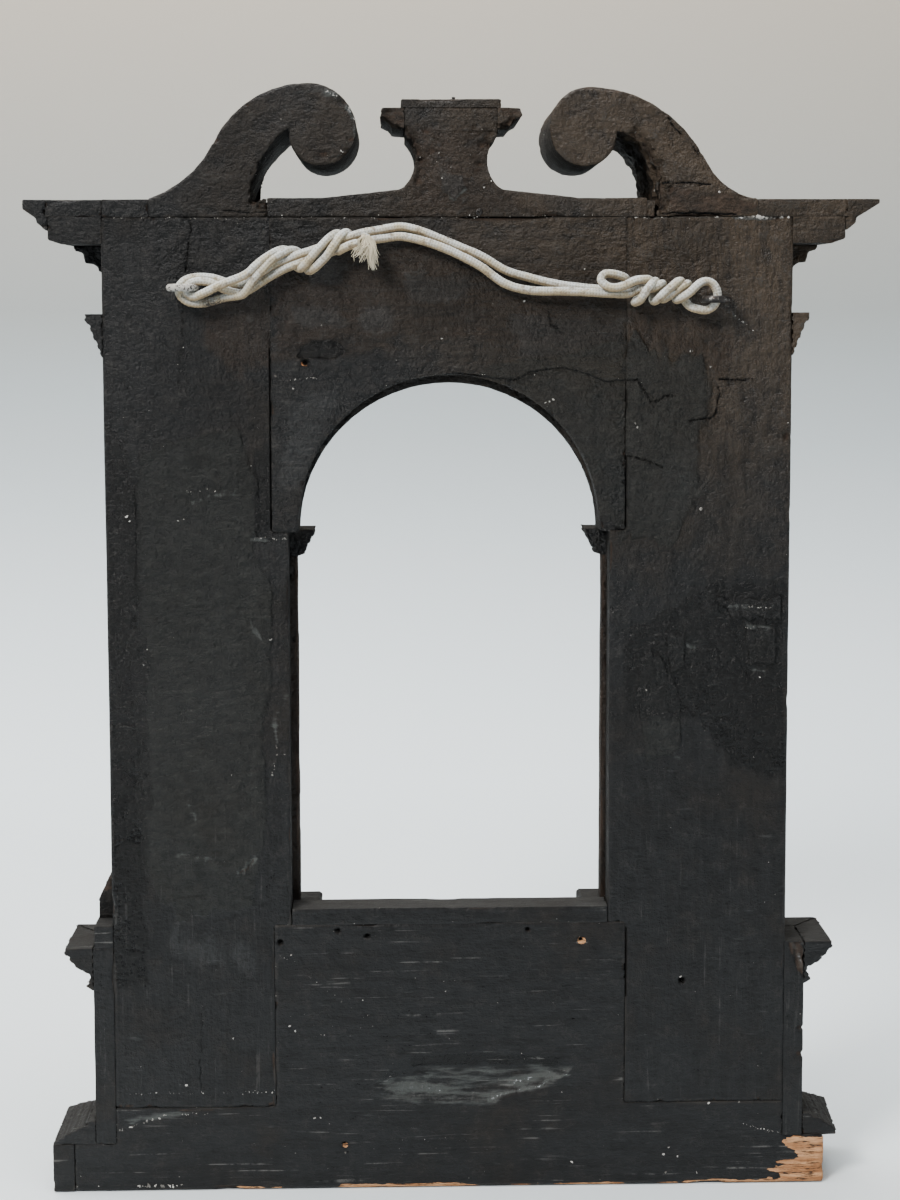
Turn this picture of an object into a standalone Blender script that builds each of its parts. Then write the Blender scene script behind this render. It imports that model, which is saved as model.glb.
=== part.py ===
"""A reliquary frame: an ebonised tabernacle front of boards and planted mouldings, hung by a rope.

Units are metres, with +Z up. The origin is the centre of the underside. The boarded back faces +Y.
Left and right are as seen from behind, so left is +X. Depth is measured forwards from the back plane.
"""

import math

import bmesh
import bpy
from mathutils import Matrix, Vector

for old in list(bpy.data.objects):
    bpy.data.objects.remove(old, do_unlink=True)

# Clearances
GAP = 0.0003
MITRE = GAP / math.sqrt(2.0)

# The round-headed opening and the boards round it
ARCH_RADIUS = 0.0840
ARCH_STEPS = 36
BOARD = 0.0180
JAMB_SETBACK = 0.0057
RAIL_LAP = 0.0085
BOTTOM_RAIL_LAP = 0.0093
RAIL_OVER_ARCH = 0.0864
JAMB_HEIGHT = 0.2231
ARCH_STILT = 0.0032
SILL_HEIGHT = 0.0089
SILL_END_PLAY = 0.0009

# The inner order: strips, blocks, imposts and archivolt on the front of the boards
INNER_STRIP_WIDTH = 0.0200
INNER_STRIP_DEPTH = 0.0117
LEFT_STRIP_SETBACK = 0.0016
RIGHT_STRIP_SETBACK = 0.0030
INNER_BASE_HEIGHT = 0.0197
INNER_BASE_OUT = 0.0118
IMPOST_HEIGHT = 0.0145
IMPOST_OUT = 0.0100
IMPOST_DROP = 0.0040
ARCHIVOLT_DROP = 0.0050
ARCHIVOLT_WIDTH = 0.0198
ARCHIVOLT_REVEAL = 0.0002
ARCHIVOLT_STEPS = 32

# Pilasters
FIELD = 0.0244
PILASTER_WIDTH = 0.0600
PILASTER_DEPTH = 0.0177
PILASTER_PLINTH_HEIGHT = 0.0126
PILASTER_PLINTH_OUT = 0.0104
PILASTER_BASE_HEIGHT = 0.0163
PILASTER_BASE_OUT = 0.0096
PILASTER_BASE_RETURN = 0.0160
ASTRAGAL_HEIGHT = 0.0040
ASTRAGAL_DROP = 0.0660
LEFT_ASTRAGAL_OUT = 0.0030
RIGHT_ASTRAGAL_OUT = 0.0018
CAPITAL_HEIGHT = 0.0240
CAPITAL_OUT = 0.0100

# Plinth and dado
PLINTH_HEIGHT = 0.0270
PLINTH_OUT = 0.0245
PLINTH_RETURN = 0.0117
STILE_FOOT_RISE = 0.0210
DADO_HEIGHT = 0.1135
DADO_SIDE = 0.0109
DADO_FRONT = 0.0107
SILL_RAIL_RISE = 0.0124
BASE_MOULDING_HEIGHT = 0.0134
BASE_MOULDING_OUT = 0.0242
BASE_RETURN_WEAR = 0.0044
LEDGE_HEIGHT = 0.0240
LEDGE_OUT = 0.0164

# Entablature
FRIEZE_HEIGHT = 0.0526
FRIEZE_DEPTH = 0.0217
BED_HEIGHT = 0.0143
BED_OUT = 0.0202
BED_RETURN = 0.0100
CORONA_HEIGHT = 0.0143
CORONA_OUT = 0.0290
CORONA_CHAMFER = 0.0077
CORONA_CHAMFER_RISE = 0.0024
TOP_BOARD = 0.0092
TOP_LIP = 0.0012
CORNICE_OUT = 0.0188
CORNICE_BELOW = 0.0069
CORNICE_TIP_WEAR = 0.0054
CORNICE_TIP_WEAR_RUN = 0.0300
LEFT_BOARD_WIDTH = 0.0304

# Pediment
TIE_HEIGHT = 0.0100
TIE_LEFT_LAP = 0.0009
TIE_RIGHT_LAP = 0.0108
PEDIMENT_DEPTH = 0.0620
BRACKET_X = -0.0015
BRACKET_HALF = 0.02535
BRACKET_BLOCK_HEIGHT = 0.0152
BRACKET_MOULDING_HEIGHT = 0.0149
BRACKET_MOULDING_OUT = 0.0136
BRACKET_PLATE_HALF = 0.0272
BRACKET_PLATE_HEIGHT = 0.0042
BRACKET_PLATE_LIP = 0.0020
BRACKET_FLARE = ((0.1970, 12.0), (0.0080, 33.0), (0.0193, 90.6))
FILLER_WIDTH = 0.0041
FILLER_HEIGHT = 0.0085
FILLER_PLAY = 0.0009
SCROLL_FOOT_HEIGHT = 0.0096
SCROLL_OVERHANG = 0.0172
LEFT_SCROLL_FOOT = 0.0647
LEFT_SCROLL_HEADING = 18.2
LEFT_SCROLL_ARCS = ((0.0622, 44.7), (0.0591, -59.9), (0.0270, -77.9), (0.0195, -111.5), (0.0163, -104.3))
LEFT_STEM_STEP = 0.0077
LEFT_STEM_BULGE = 0.0060
RIGHT_SCROLL_FOOT = 0.0562
RIGHT_SCROLL_HEADING = 5.9
RIGHT_SCROLL_ARCS = ((0.0354, 57.4), (0.0762, -58.9), (0.0227, -120.5), (0.0186, -82.0), (0.0167, -82.4))
RIGHT_STEM_BULGE = 0.0080

# Screw eyes
EYE_RADIUS = 0.0070
EYE_WIRE = 0.0021
EYE_SHANK = 0.0018
EYE_SHANK_LENGTH = 0.0120
EYE_STANDOFF = 0.0092
LEFT_EYE_INSET = 0.0450
LEFT_EYE_DROP = 0.0384
RIGHT_EYE_INSET = 0.0440
RIGHT_EYE_DROP = 0.0453

# Rope
CORD = 0.0047
CORD_POINT_SPACING = 0.0120
LOOP_POINT_SPACING = 0.0050
TWIST_POINT_SPACING = 0.0080
TWIST_RADIUS = 0.0069

# Heights of the lines that pieces share
STILE_FOOT = PLINTH_HEIGHT + STILE_FOOT_RISE
DADO_FOOT = PLINTH_HEIGHT + GAP
DADO_TOP = DADO_FOOT + DADO_HEIGHT
ORDER_FOOT = DADO_TOP + GAP
BOTTOM_RAIL_TOP = DADO_TOP + SILL_RAIL_RISE
ARCH_FOOT = BOTTOM_RAIL_TOP + JAMB_HEIGHT
ARCH_SPRING = ARCH_FOOT + ARCH_STILT
BODY_TOP = ARCH_SPRING + ARCH_RADIUS + RAIL_OVER_ARCH
FRIEZE_FOOT = BODY_TOP - FRIEZE_HEIGHT
CAPITAL_TOP = FRIEZE_FOOT - GAP
IMPOST_TOP = ARCH_SPRING - IMPOST_DROP
CORONA_FOOT = BODY_TOP - CORONA_HEIGHT
ROOF = BODY_TOP + GAP
SCROLL_STEP = ROOF + SCROLL_FOOT_HEIGHT

# Half widths and depths of the faces that pieces share
JAMB_HALF = ARCH_RADIUS + JAMB_SETBACK
RAIL_HALF = JAMB_HALF + RAIL_LAP
BOTTOM_RAIL_HALF = JAMB_HALF + BOTTOM_RAIL_LAP
STRIP_OUTER = ARCH_RADIUS + LEFT_STRIP_SETBACK + INNER_STRIP_WIDTH
PILASTER_INNER = STRIP_OUTER + FIELD
BODY_HALF = PILASTER_INNER + PILASTER_WIDTH
DADO_HALF = BODY_HALF + GAP + DADO_SIDE
BASE_HALF = DADO_HALF + PLINTH_OUT - PLINTH_RETURN - GAP
CORONA_HALF = BODY_HALF + CORONA_OUT
TIE_LEFT = RAIL_HALF + TIE_LEFT_LAP
TIE_RIGHT = RAIL_HALF + TIE_RIGHT_LAP
LEFT_SCROLL_START = TIE_LEFT + GAP
RIGHT_SCROLL_START = TIE_RIGHT + GAP + FILLER_WIDTH + FILLER_PLAY
FACE = BOARD + GAP
DADO_DEPTH = FACE + DADO_FRONT
BASE_DEPTH = DADO_DEPTH + PLINTH_OUT
STRIP_DEPTH = FACE + INNER_STRIP_DEPTH
PILASTER_FRONT = FACE + PILASTER_DEPTH
FRIEZE_FRONT = FACE + FRIEZE_DEPTH
CORONA_FRONT = FRIEZE_FRONT + GAP + CORONA_OUT
ROOF_FRONT = CORONA_FRONT + TOP_LIP
BACK_Y = BASE_DEPTH / 2.0

# Finishes: colour, roughness and metallic value
EBONISED = ((0.020, 0.017, 0.016), 0.45, 0.0)
IRON = ((0.045, 0.040, 0.037), 0.55, 0.9)
ROPE = ((0.62, 0.57, 0.48), 0.85, 0.0)

# Shapes of the mouldings, as shares of how far each stands out and how high it is, foot to top
BASE_SHAPE = ((0.0, 0.0), (1.0, 0.0), (1.0, 0.07), (0.81, 0.25), (0.71, 0.40), (0.55, 0.55), (0.38, 0.76),
              (0.28, 0.79), (0.18, 0.97), (0.0, 1.0))
LEDGE_SHAPE = ((0.0, 0.0), (0.25, 0.10), (0.12, 0.25), (0.09, 0.39), (0.30, 0.44), (0.63, 0.58), (1.0, 0.90),
               (1.0, 1.0), (0.0, 1.0))
CAPITAL_SHAPE = ((0.0, 0.0), (0.14, 0.12), (0.30, 0.31), (0.58, 0.54), (0.70, 0.73), (1.0, 0.89), (1.0, 1.0),
                 (0.0, 1.0))
BED_SHAPE = ((0.0, 0.0), (0.28, 0.0), (0.31, 0.18), (0.45, 0.32), (0.66, 0.35), (0.73, 0.75), (0.94, 0.83),
             (1.0, 1.0), (0.0, 1.0))
BRACKET_SHAPE = ((0.0, 0.0), (0.50, 0.11), (0.68, 0.40), (1.0, 0.66), (0.90, 1.0), (0.0, 1.0))
PILASTER_BASE_LEVELS = ((1.0, 0.0), (1.0, 0.26), (0.83, 0.39), (0.62, 0.43), (0.62, 0.50), (0.44, 0.64),
                        (0.23, 0.78), (0.12, 0.86), (0.12, 1.0))
INNER_BASE_LEVELS = ((1.0, 0.0), (1.0, 0.92), (0.88, 1.0))
IMPOST_LEVELS = ((0.05, 0.0), (0.45, 0.10), (0.55, 0.34), (1.0, 0.88), (1.0, 1.0))


def place(x, depth, z):
    """A point from its width, its depth forwards from the back plane, and its height."""
    return Vector((x, BACK_Y - depth, z))


def dress(obj, finish):
    """Give an object its own material."""
    colour, roughness, metallic = finish
    material = bpy.data.materials.new(obj.name + "_finish")
    material.use_nodes = True
    shader = material.node_tree.nodes["Principled BSDF"]
    shader.inputs["Base Color"].default_value = (*colour, 1.0)
    shader.inputs["Roughness"].default_value = roughness
    shader.inputs["Metallic"].default_value = metallic
    material.diffuse_color = (*colour, 1.0)
    obj.data.materials.append(material)


def keep(name, bm, finish=EBONISED, smooth=False):
    """Close a bmesh into a named object with its faces pointing outwards."""
    bmesh.ops.recalc_face_normals(bm, faces=bm.faces[:])
    mesh = bpy.data.meshes.new(name)
    bm.to_mesh(mesh)
    bm.free()
    obj = bpy.data.objects.new(name, mesh)
    bpy.context.scene.collection.objects.link(obj)
    if smooth:
        mesh.shade_smooth()
        mesh.set_sharp_from_angle(angle=math.radians(35.0))
    dress(obj, finish)
    return obj


def extrude_through(stations):
    """A solid whose corners pass through every station in turn."""
    bm = bmesh.new()
    corner = bm.verts.layers.int.new("corner")
    first = []
    for index, point in enumerate(stations[0]):
        vert = bm.verts.new(point)
        vert[corner] = index
        first.append(vert)
    face = bm.faces.new(first)
    for index, station in enumerate(stations[1:]):
        passed = face
        grown = bmesh.ops.extrude_face_region(bm, geom=[face])["geom"]
        face = next(item for item in grown if isinstance(item, bmesh.types.BMFace))
        if index > 0:
            bmesh.ops.delete(bm, geom=[passed], context="FACES")
        for vert in face.verts:
            vert.co = station[vert[corner]]
    return bm


def board(outline, back, front):
    """An outline seen from behind, cut from stock that runs from one depth to another."""
    return extrude_through([[place(x, depth, z) for x, z in outline] for depth in (back, front)])


def box(low_x, high_x, back, front, foot, top):
    """A plain squared length of wood."""
    return board([(low_x, foot), (high_x, foot), (high_x, top), (low_x, top)], back, front)


def section(shape, out, height, foot):
    """A moulding's section, planted on its wall, from its shape and its two sizes."""
    return [(GAP + share * (out - GAP), foot + rise * height) for share, rise in shape]


def outward(start, end):
    """The way a wall faces, when it is walked from left to right round the front."""
    run = (Vector(end) - Vector(start)).normalized()
    return Vector((run.y, -run.x))


def moulding(profile, path, before=None, after=None):
    """A section run along walls in plan, mitred at the corners and towards a neighbour's wall."""
    points = [before or path[0], *path, after or path[-1]]
    stations = []
    for index, point in enumerate(path):
        here = Vector(point)
        behind, ahead = Vector(points[index]), Vector(points[index + 2])
        normals = [outward(a, b) for a, b in ((behind, here), (here, ahead)) if (b - a).length > 0.0]
        mitre = sum(normals, Vector((0.0, 0.0)))
        if len(normals) == 2:
            mitre /= 1.0 + normals[0].dot(normals[1])
        if index == 0 and before:
            here = here + (ahead - here).normalized() * MITRE
        if index == len(path) - 1 and after:
            here = here + (behind - here).normalized() * MITRE
        stations.append([place(*(here + mitre * out), z) for out, z in profile])
    return extrude_through(stations)


def round_front(half, depth):
    """The plan of a straight front with a return on each side, back to the back plane."""
    return [(half, 0.0), (half, depth), (-half, depth), (-half, 0.0)]


def three_sided_moulding(name, profile, half, depth):
    """A moulding mitred round the front from three lengths, as a dict of unfinished solids."""
    left_back, left_front, right_front, right_back = round_front(half, depth)
    return {
        name + "_left": moulding(profile, [left_back, left_front], after=right_front),
        name + "_front": moulding(profile, [left_front, right_front], before=left_back, after=right_back),
        name + "_right": moulding(profile, [right_front, right_back], before=left_front),
    }


def levelled_block(plan, levels, out, height, foot):
    """A block whose plan steps outwards from level to level. Each plan corner says which way it moves."""
    stations = []
    for share, rise in levels:
        moved = [(x + out * share * way_x, d + out * share * way_d) for x, d, way_x, way_d in plan]
        stations.append([place(x, d, foot + rise * height) for x, d in moved])
    return extrude_through(stations)


def cut_flat(bm, point, normal):
    """Cut away what lies beyond a plane, and close the cut."""
    whole = bm.verts[:] + bm.edges[:] + bm.faces[:]
    cut = bmesh.ops.bisect_plane(bm, geom=whole, plane_co=point, plane_no=normal, clear_outer=True)
    rim = [item for item in cut["geom_cut"] if isinstance(item, bmesh.types.BMEdge)]
    bmesh.ops.contextual_create(bm, geom=rim)


def arc_chain(heading, arcs, step=9.0):
    """Arcs joined end to end, each a radius and a signed turn in degrees, from the point 0, 0."""
    x, z = 0.0, 0.0
    angle = math.radians(heading)
    points = [(x, z)]
    for radius, turn in arcs:
        side = math.copysign(1.0, turn)
        centre_x = x - side * radius * math.sin(angle)
        centre_z = z + side * radius * math.cos(angle)
        count = max(1, round(abs(turn) / step))
        start = angle
        for index in range(1, count + 1):
            angle = start + math.radians(turn) * index / count
            x = centre_x + side * radius * math.sin(angle)
            z = centre_z - side * radius * math.cos(angle)
            points.append((x, z))
    return points


def bulge_between(start, end, rise, count=6):
    """Points on a shallow curve between two points, which stands off their chord by rise."""
    start, end = Vector(start), Vector(end)
    side = (end - start).orthogonal().normalized()
    points = []
    for index in range(1, count):
        share = index / count
        points.append(tuple(start.lerp(end, share) + side * (4.0 * rise * share * (1.0 - share))))
    return points


# Back boards
def make_stile(name, side):
    """A stile, shouldered over the bottom rail and under the arched rail."""
    rail_edge = RAIL_HALF + GAP
    foot_edge = BOTTOM_RAIL_HALF + GAP
    outline = [
        (BODY_HALF, STILE_FOOT),
        (BODY_HALF, BODY_TOP),
        (rail_edge, BODY_TOP),
        (rail_edge, ARCH_FOOT - GAP),
        (JAMB_HALF, ARCH_FOOT - GAP),
        (JAMB_HALF, BOTTOM_RAIL_TOP + GAP),
        (foot_edge, BOTTOM_RAIL_TOP + GAP),
        (foot_edge, STILE_FOOT),
    ]
    return keep(name, board([(side * x, z) for x, z in outline], 0.0, BOARD))


def make_arch_rail():
    """The top rail, with the round head of the opening cut out of its lower edge."""
    arch = []
    for index in range(ARCH_STEPS + 1):
        angle = math.pi * (1.0 - index / ARCH_STEPS)
        arch.append((ARCH_RADIUS * math.cos(angle), ARCH_SPRING + ARCH_RADIUS * math.sin(angle)))
    outline = [(RAIL_HALF, ARCH_FOOT), (RAIL_HALF, BODY_TOP), (-RAIL_HALF, BODY_TOP), (-RAIL_HALF, ARCH_FOOT),
               (-ARCH_RADIUS, ARCH_FOOT), *arch, (ARCH_RADIUS, ARCH_FOOT)]
    keep("arch_rail", board(outline, 0.0, BOARD))


def make_base_board():
    """The foot of the back and the bottom rail, in one board."""
    right = [
        (BASE_HALF, 0.0),
        (BASE_HALF, PLINTH_HEIGHT),
        (BODY_HALF, PLINTH_HEIGHT),
        (BODY_HALF, STILE_FOOT - GAP),
        (BOTTOM_RAIL_HALF, STILE_FOOT - GAP),
        (BOTTOM_RAIL_HALF, BOTTOM_RAIL_TOP),
    ]
    outline = right + [(-x, z) for x, z in reversed(right)]
    keep("base_board", board(outline, 0.0, BOARD))


def make_sill_strip():
    """The loose strip on the bottom rail, a little short of the jambs."""
    half = JAMB_HALF - SILL_END_PLAY
    foot = BOTTOM_RAIL_TOP + GAP
    keep("sill_strip", box(-half, half, 0.0, BOARD, foot, foot + SILL_HEIGHT))


# Plinth and dado
def make_dado():
    """The box of thin boards that carries the ledge."""
    inner = BODY_HALF + GAP
    keep("dado_side_left", box(inner, DADO_HALF, 0.0, DADO_DEPTH, DADO_FOOT, DADO_TOP))
    keep("dado_side_right", box(-DADO_HALF, -inner, 0.0, DADO_DEPTH, DADO_FOOT, DADO_TOP))
    keep("dado_front", box(-BODY_HALF, BODY_HALF, FACE, DADO_DEPTH, DADO_FOOT, DADO_TOP))


def make_plinth():
    """The plinth's front board and the one return that it still has."""
    keep("plinth_front", box(-BASE_HALF, BASE_HALF, FACE, BASE_DEPTH, 0.0, PLINTH_HEIGHT))
    start = BASE_HALF + GAP
    keep("plinth_return_left", box(start, start + PLINTH_RETURN, 0.0, BASE_DEPTH, 0.0, PLINTH_HEIGHT))


def make_base_moulding():
    """The moulding in the angle of plinth and dado. Its right return is worn back at the wall."""
    profile = section(BASE_SHAPE, BASE_MOULDING_OUT, BASE_MOULDING_HEIGHT, DADO_FOOT)
    runs = three_sided_moulding("base_moulding", profile, DADO_HALF, DADO_DEPTH)
    worn = place(-(DADO_HALF + BASE_MOULDING_OUT - BASE_RETURN_WEAR), 0.0, DADO_FOOT)
    full = place(-(DADO_HALF + BASE_MOULDING_OUT), BASE_DEPTH, DADO_FOOT)
    along = full - worn
    cut_flat(runs["base_moulding_right"], worn, (along.y, -along.x, 0.0))
    for name, bm in runs.items():
        keep(name, bm)


def make_ledge_moulding():
    """The ledge that caps the dado, with its hollow necking."""
    profile = section(LEDGE_SHAPE, LEDGE_OUT, LEDGE_HEIGHT, DADO_TOP - LEDGE_HEIGHT)
    for name, bm in three_sided_moulding("ledge_moulding", profile, DADO_HALF, DADO_DEPTH).items():
        keep(name, bm)


# Pilasters
def order_plan(side, inner, outer, front, return_depth=None):
    """A block's plan against the boards, which moves out to both sides and the front.

    With a return it also laps the board's edge, as far back as return_depth. Without one its outer side
    stays flush, and only the inner side and the front move.
    """
    if return_depth is None:
        plan = [(outer, FACE, 0.0, 0.0), (outer, front, 0.0, 1.0), (inner, front, -1.0, 1.0),
                (inner, FACE, -1.0, 0.0)]
    else:
        lap = BODY_HALF + GAP
        plan = [(lap, return_depth, 0.0, 0.0), (outer, return_depth, 1.0, 0.0), (outer, front, 1.0, 1.0),
                (inner, front, -1.0, 1.0), (inner, FACE, -1.0, 0.0), (lap, FACE, 0.0, 0.0)]
    return [(side * x, depth, side * way_x, way_depth) for x, depth, way_x, way_depth in plan]


def make_pilaster_foot(word, side, plinth_return, base_return):
    """The block and the moulded base under a pilaster."""
    square = ((1.0, 0.0), (1.0, 1.0))
    plan = order_plan(side, PILASTER_INNER, BODY_HALF, PILASTER_FRONT, plinth_return)
    keep("pilaster_plinth_" + word,
         levelled_block(plan, square, PILASTER_PLINTH_OUT, PILASTER_PLINTH_HEIGHT, ORDER_FOOT))
    base_foot = ORDER_FOOT + PILASTER_PLINTH_HEIGHT + GAP
    plan = order_plan(side, PILASTER_INNER, BODY_HALF, PILASTER_FRONT, base_return)
    keep("pilaster_base_" + word,
         levelled_block(plan, PILASTER_BASE_LEVELS, PILASTER_BASE_OUT, PILASTER_BASE_HEIGHT, base_foot))
    return base_foot + PILASTER_BASE_HEIGHT + GAP


def make_pilaster(word, side, astragal_out, plinth_return, base_return):
    """A pilaster with its foot, its astragal and the capital that returns along the board's edge."""
    foot = make_pilaster_foot(word, side, plinth_return, base_return)
    low, high = sorted((side * PILASTER_INNER, side * BODY_HALF))
    keep("pilaster_" + word, box(low, high, FACE, PILASTER_FRONT, foot, CAPITAL_TOP))
    left_depth, right_depth = (0.0, FACE) if side > 0 else (FACE, 0.0)
    walls = [(high, PILASTER_FRONT), (low, PILASTER_FRONT)]
    profile = section(CAPITAL_SHAPE, CAPITAL_OUT, CAPITAL_HEIGHT, CAPITAL_TOP - CAPITAL_HEIGHT)
    keep("capital_" + word, moulding(profile, [(high, left_depth), *walls, (low, right_depth)]))
    bead = [(math.cos(math.radians(turn)), 0.5 + 0.5 * math.sin(math.radians(turn)))
            for turn in range(-90, 91, 30)]
    profile = section(bead, astragal_out, ASTRAGAL_HEIGHT, CAPITAL_TOP - ASTRAGAL_DROP - ASTRAGAL_HEIGHT)
    keep("astragal_" + word, moulding(profile, [(high, FACE), *walls, (low, FACE)]))


# The inner order
def make_inner_order(word, side, setback):
    """The strip beside the opening, its foot block and its impost."""
    inner = ARCH_RADIUS + setback
    outer = inner + INNER_STRIP_WIDTH
    plan = order_plan(side, inner, outer, STRIP_DEPTH)
    keep("inner_base_" + word,
         levelled_block(plan, INNER_BASE_LEVELS, INNER_BASE_OUT, INNER_BASE_HEIGHT, ORDER_FOOT))
    foot = ORDER_FOOT + INNER_BASE_HEIGHT + GAP
    impost_foot = IMPOST_TOP - IMPOST_HEIGHT
    low, high = sorted((side * inner, side * outer))
    keep("jamb_strip_" + word, box(low, high, FACE, STRIP_DEPTH, foot, impost_foot - GAP))
    keep("impost_" + word, levelled_block(plan, IMPOST_LEVELS, IMPOST_OUT, IMPOST_HEIGHT, impost_foot))


def make_archivolt():
    """The half ring over the opening, from one impost to the other, with two fasciae and a rim."""
    inner = ARCH_RADIUS + ARCHIVOLT_REVEAL
    spring = ARCH_SPRING - ARCHIVOLT_DROP
    shape = ((0.0, 0.0), (0.0, 0.74), (0.36, 0.74), (0.36, 0.86), (0.68, 0.86), (0.75, 1.0), (1.0, 1.0),
             (1.0, 0.0))
    start = math.asin((IMPOST_TOP + GAP - spring) / inner)
    bm = bmesh.new()
    corners = []
    for share, rise in shape:
        radius = inner + share * ARCHIVOLT_WIDTH
        depth = FACE + rise * INNER_STRIP_DEPTH
        corners.append(bm.verts.new(place(radius * math.cos(start), depth, spring + radius * math.sin(start))))
    face = bm.faces.new(corners)
    bmesh.ops.spin(bm, geom=[face], cent=(0.0, 0.0, spring), axis=(0.0, -1.0, 0.0),
                   angle=math.pi - 2.0 * start, steps=ARCHIVOLT_STEPS, use_merge=False)
    keep("archivolt", bm, smooth=True)


# Entablature
def make_frieze():
    """The thick board over the pilasters, and the bed moulding planted round it."""
    keep("frieze_board", box(-BODY_HALF, BODY_HALF, FACE, FRIEZE_FRONT, FRIEZE_FOOT, BODY_TOP))
    start = FRIEZE_FRONT - BED_RETURN
    path = [(BODY_HALF, start), (BODY_HALF, FRIEZE_FRONT), (-BODY_HALF, FRIEZE_FRONT), (-BODY_HALF, start)]
    foot = CORONA_FOOT - GAP - BED_HEIGHT
    keep("bed_moulding", moulding(section(BED_SHAPE, BED_OUT, BED_HEIGHT, foot), path))


def make_corona():
    """The drip board along the front and the blocks that carry it back along the sides."""
    inner = BODY_HALF + GAP
    chamfer_top = CORONA_FOOT + CORONA_CHAMFER_RISE
    outline = [(inner, CORONA_FOOT), (CORONA_HALF - CORONA_CHAMFER, CORONA_FOOT), (CORONA_HALF, chamfer_top),
               (CORONA_HALF, BODY_TOP), (inner, BODY_TOP)]
    keep("corona_block_left", board(outline, 0.0, FRIEZE_FRONT))
    keep("corona_block_right", board([(-x, z) for x, z in outline], 0.0, FRIEZE_FRONT))
    back = FRIEZE_FRONT + GAP
    plan = [(CORONA_HALF, back, 1.0, 0.0), (CORONA_HALF, CORONA_FRONT, 1.0, 1.0),
            (-CORONA_HALF, CORONA_FRONT, -1.0, 1.0), (-CORONA_HALF, back, -1.0, 0.0)]
    levels = ((-1.0, 0.0), (0.0, CORONA_CHAMFER_RISE / CORONA_HEIGHT), (0.0, 1.0))
    keep("corona_front", levelled_block(plan, levels, CORONA_CHAMFER, CORONA_HEIGHT, CORONA_FOOT))


def make_cornice_moulding():
    """The cyma round the corona. The left return's back tip is worn blunt."""
    foot = BODY_TOP - CORNICE_BELOW
    top = ROOF + TOP_BOARD
    lip = TOP_LIP + GAP
    profile = [
        (GAP, foot),
        (0.06 * CORNICE_OUT, foot),
        (0.31 * CORNICE_OUT, foot + 0.24 * (top - foot)),
        (0.35 * CORNICE_OUT, BODY_TOP),
        (CORNICE_OUT, foot + 0.88 * (top - foot)),
        (CORNICE_OUT, top),
        (lip, top),
        (lip, BODY_TOP),
        (GAP, BODY_TOP),
    ]
    runs = three_sided_moulding("cornice_moulding", profile, CORONA_HALF, CORONA_FRONT)
    tip = CORONA_HALF + CORNICE_OUT
    worn = place(tip - CORNICE_TIP_WEAR, 0.0, top)
    full = place(tip, CORNICE_TIP_WEAR_RUN, top)
    along = full - worn
    cut_flat(runs["cornice_moulding_left"], worn, (-along.y, along.x, 0.0))
    for name, bm in runs.items():
        keep(name, bm)


def make_top_boards():
    """The thin boards that roof the cornice beside the scrolls."""
    edge = CORONA_HALF + TOP_LIP
    top = ROOF + TOP_BOARD
    seam = edge - LEFT_BOARD_WIDTH
    left_start = LEFT_SCROLL_START + LEFT_SCROLL_FOOT + GAP
    right_start = RIGHT_SCROLL_START + RIGHT_SCROLL_FOOT + GAP
    keep("top_board_left_outer", box(seam, edge, 0.0, ROOF_FRONT, ROOF, top))
    keep("top_board_left_inner", box(left_start, seam - GAP, 0.0, ROOF_FRONT, ROOF, top))
    keep("top_board_right", box(-edge, -right_start, 0.0, ROOF_FRONT, ROOF, top))


# Pediment
def make_pediment_board():
    """The tie between the scrolls and the waisted bracket that rises from it, in one board."""
    tie_top = ROOF + TIE_HEIGHT
    flare = arc_chain(0.0, BRACKET_FLARE)
    shoulder_x, rise = flare[-1]
    half = [(BRACKET_HALF + shoulder_x - x, tie_top + z) for x, z in flare]
    block_top = tie_top + rise + BRACKET_BLOCK_HEIGHT
    left = [(BRACKET_X + x, z) for x, z in half]
    right = [(BRACKET_X - x, z) for x, z in reversed(half)]
    outline = [(TIE_LEFT, ROOF), (TIE_LEFT, tie_top), *left, (BRACKET_X + BRACKET_HALF, block_top),
               (BRACKET_X - BRACKET_HALF, block_top), *right, (-TIE_RIGHT, tie_top), (-TIE_RIGHT, ROOF)]
    keep("pediment_board", board(outline, 0.0, PEDIMENT_DEPTH))
    low, high = BRACKET_X - BRACKET_HALF, BRACKET_X + BRACKET_HALF
    path = [(high, 0.0), (high, PEDIMENT_DEPTH), (low, PEDIMENT_DEPTH), (low, 0.0)]
    profile = section(BRACKET_SHAPE, BRACKET_MOULDING_OUT, BRACKET_MOULDING_HEIGHT, tie_top + rise)
    keep("bracket_moulding", moulding(profile, path))
    foot = block_top + GAP
    keep("bracket_top_plate", box(BRACKET_X - BRACKET_PLATE_HALF, BRACKET_X + BRACKET_PLATE_HALF, 0.0,
                                  PEDIMENT_DEPTH + BRACKET_PLATE_LIP, foot, foot + BRACKET_PLATE_HEIGHT))


def make_filler_strip():
    """The sliver of wood let in between the tie and the right scroll."""
    start = TIE_RIGHT + GAP
    keep("filler_strip", box(-start - FILLER_WIDTH, -start, 0.0, PEDIMENT_DEPTH, ROOF, ROOF + FILLER_HEIGHT))


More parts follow.
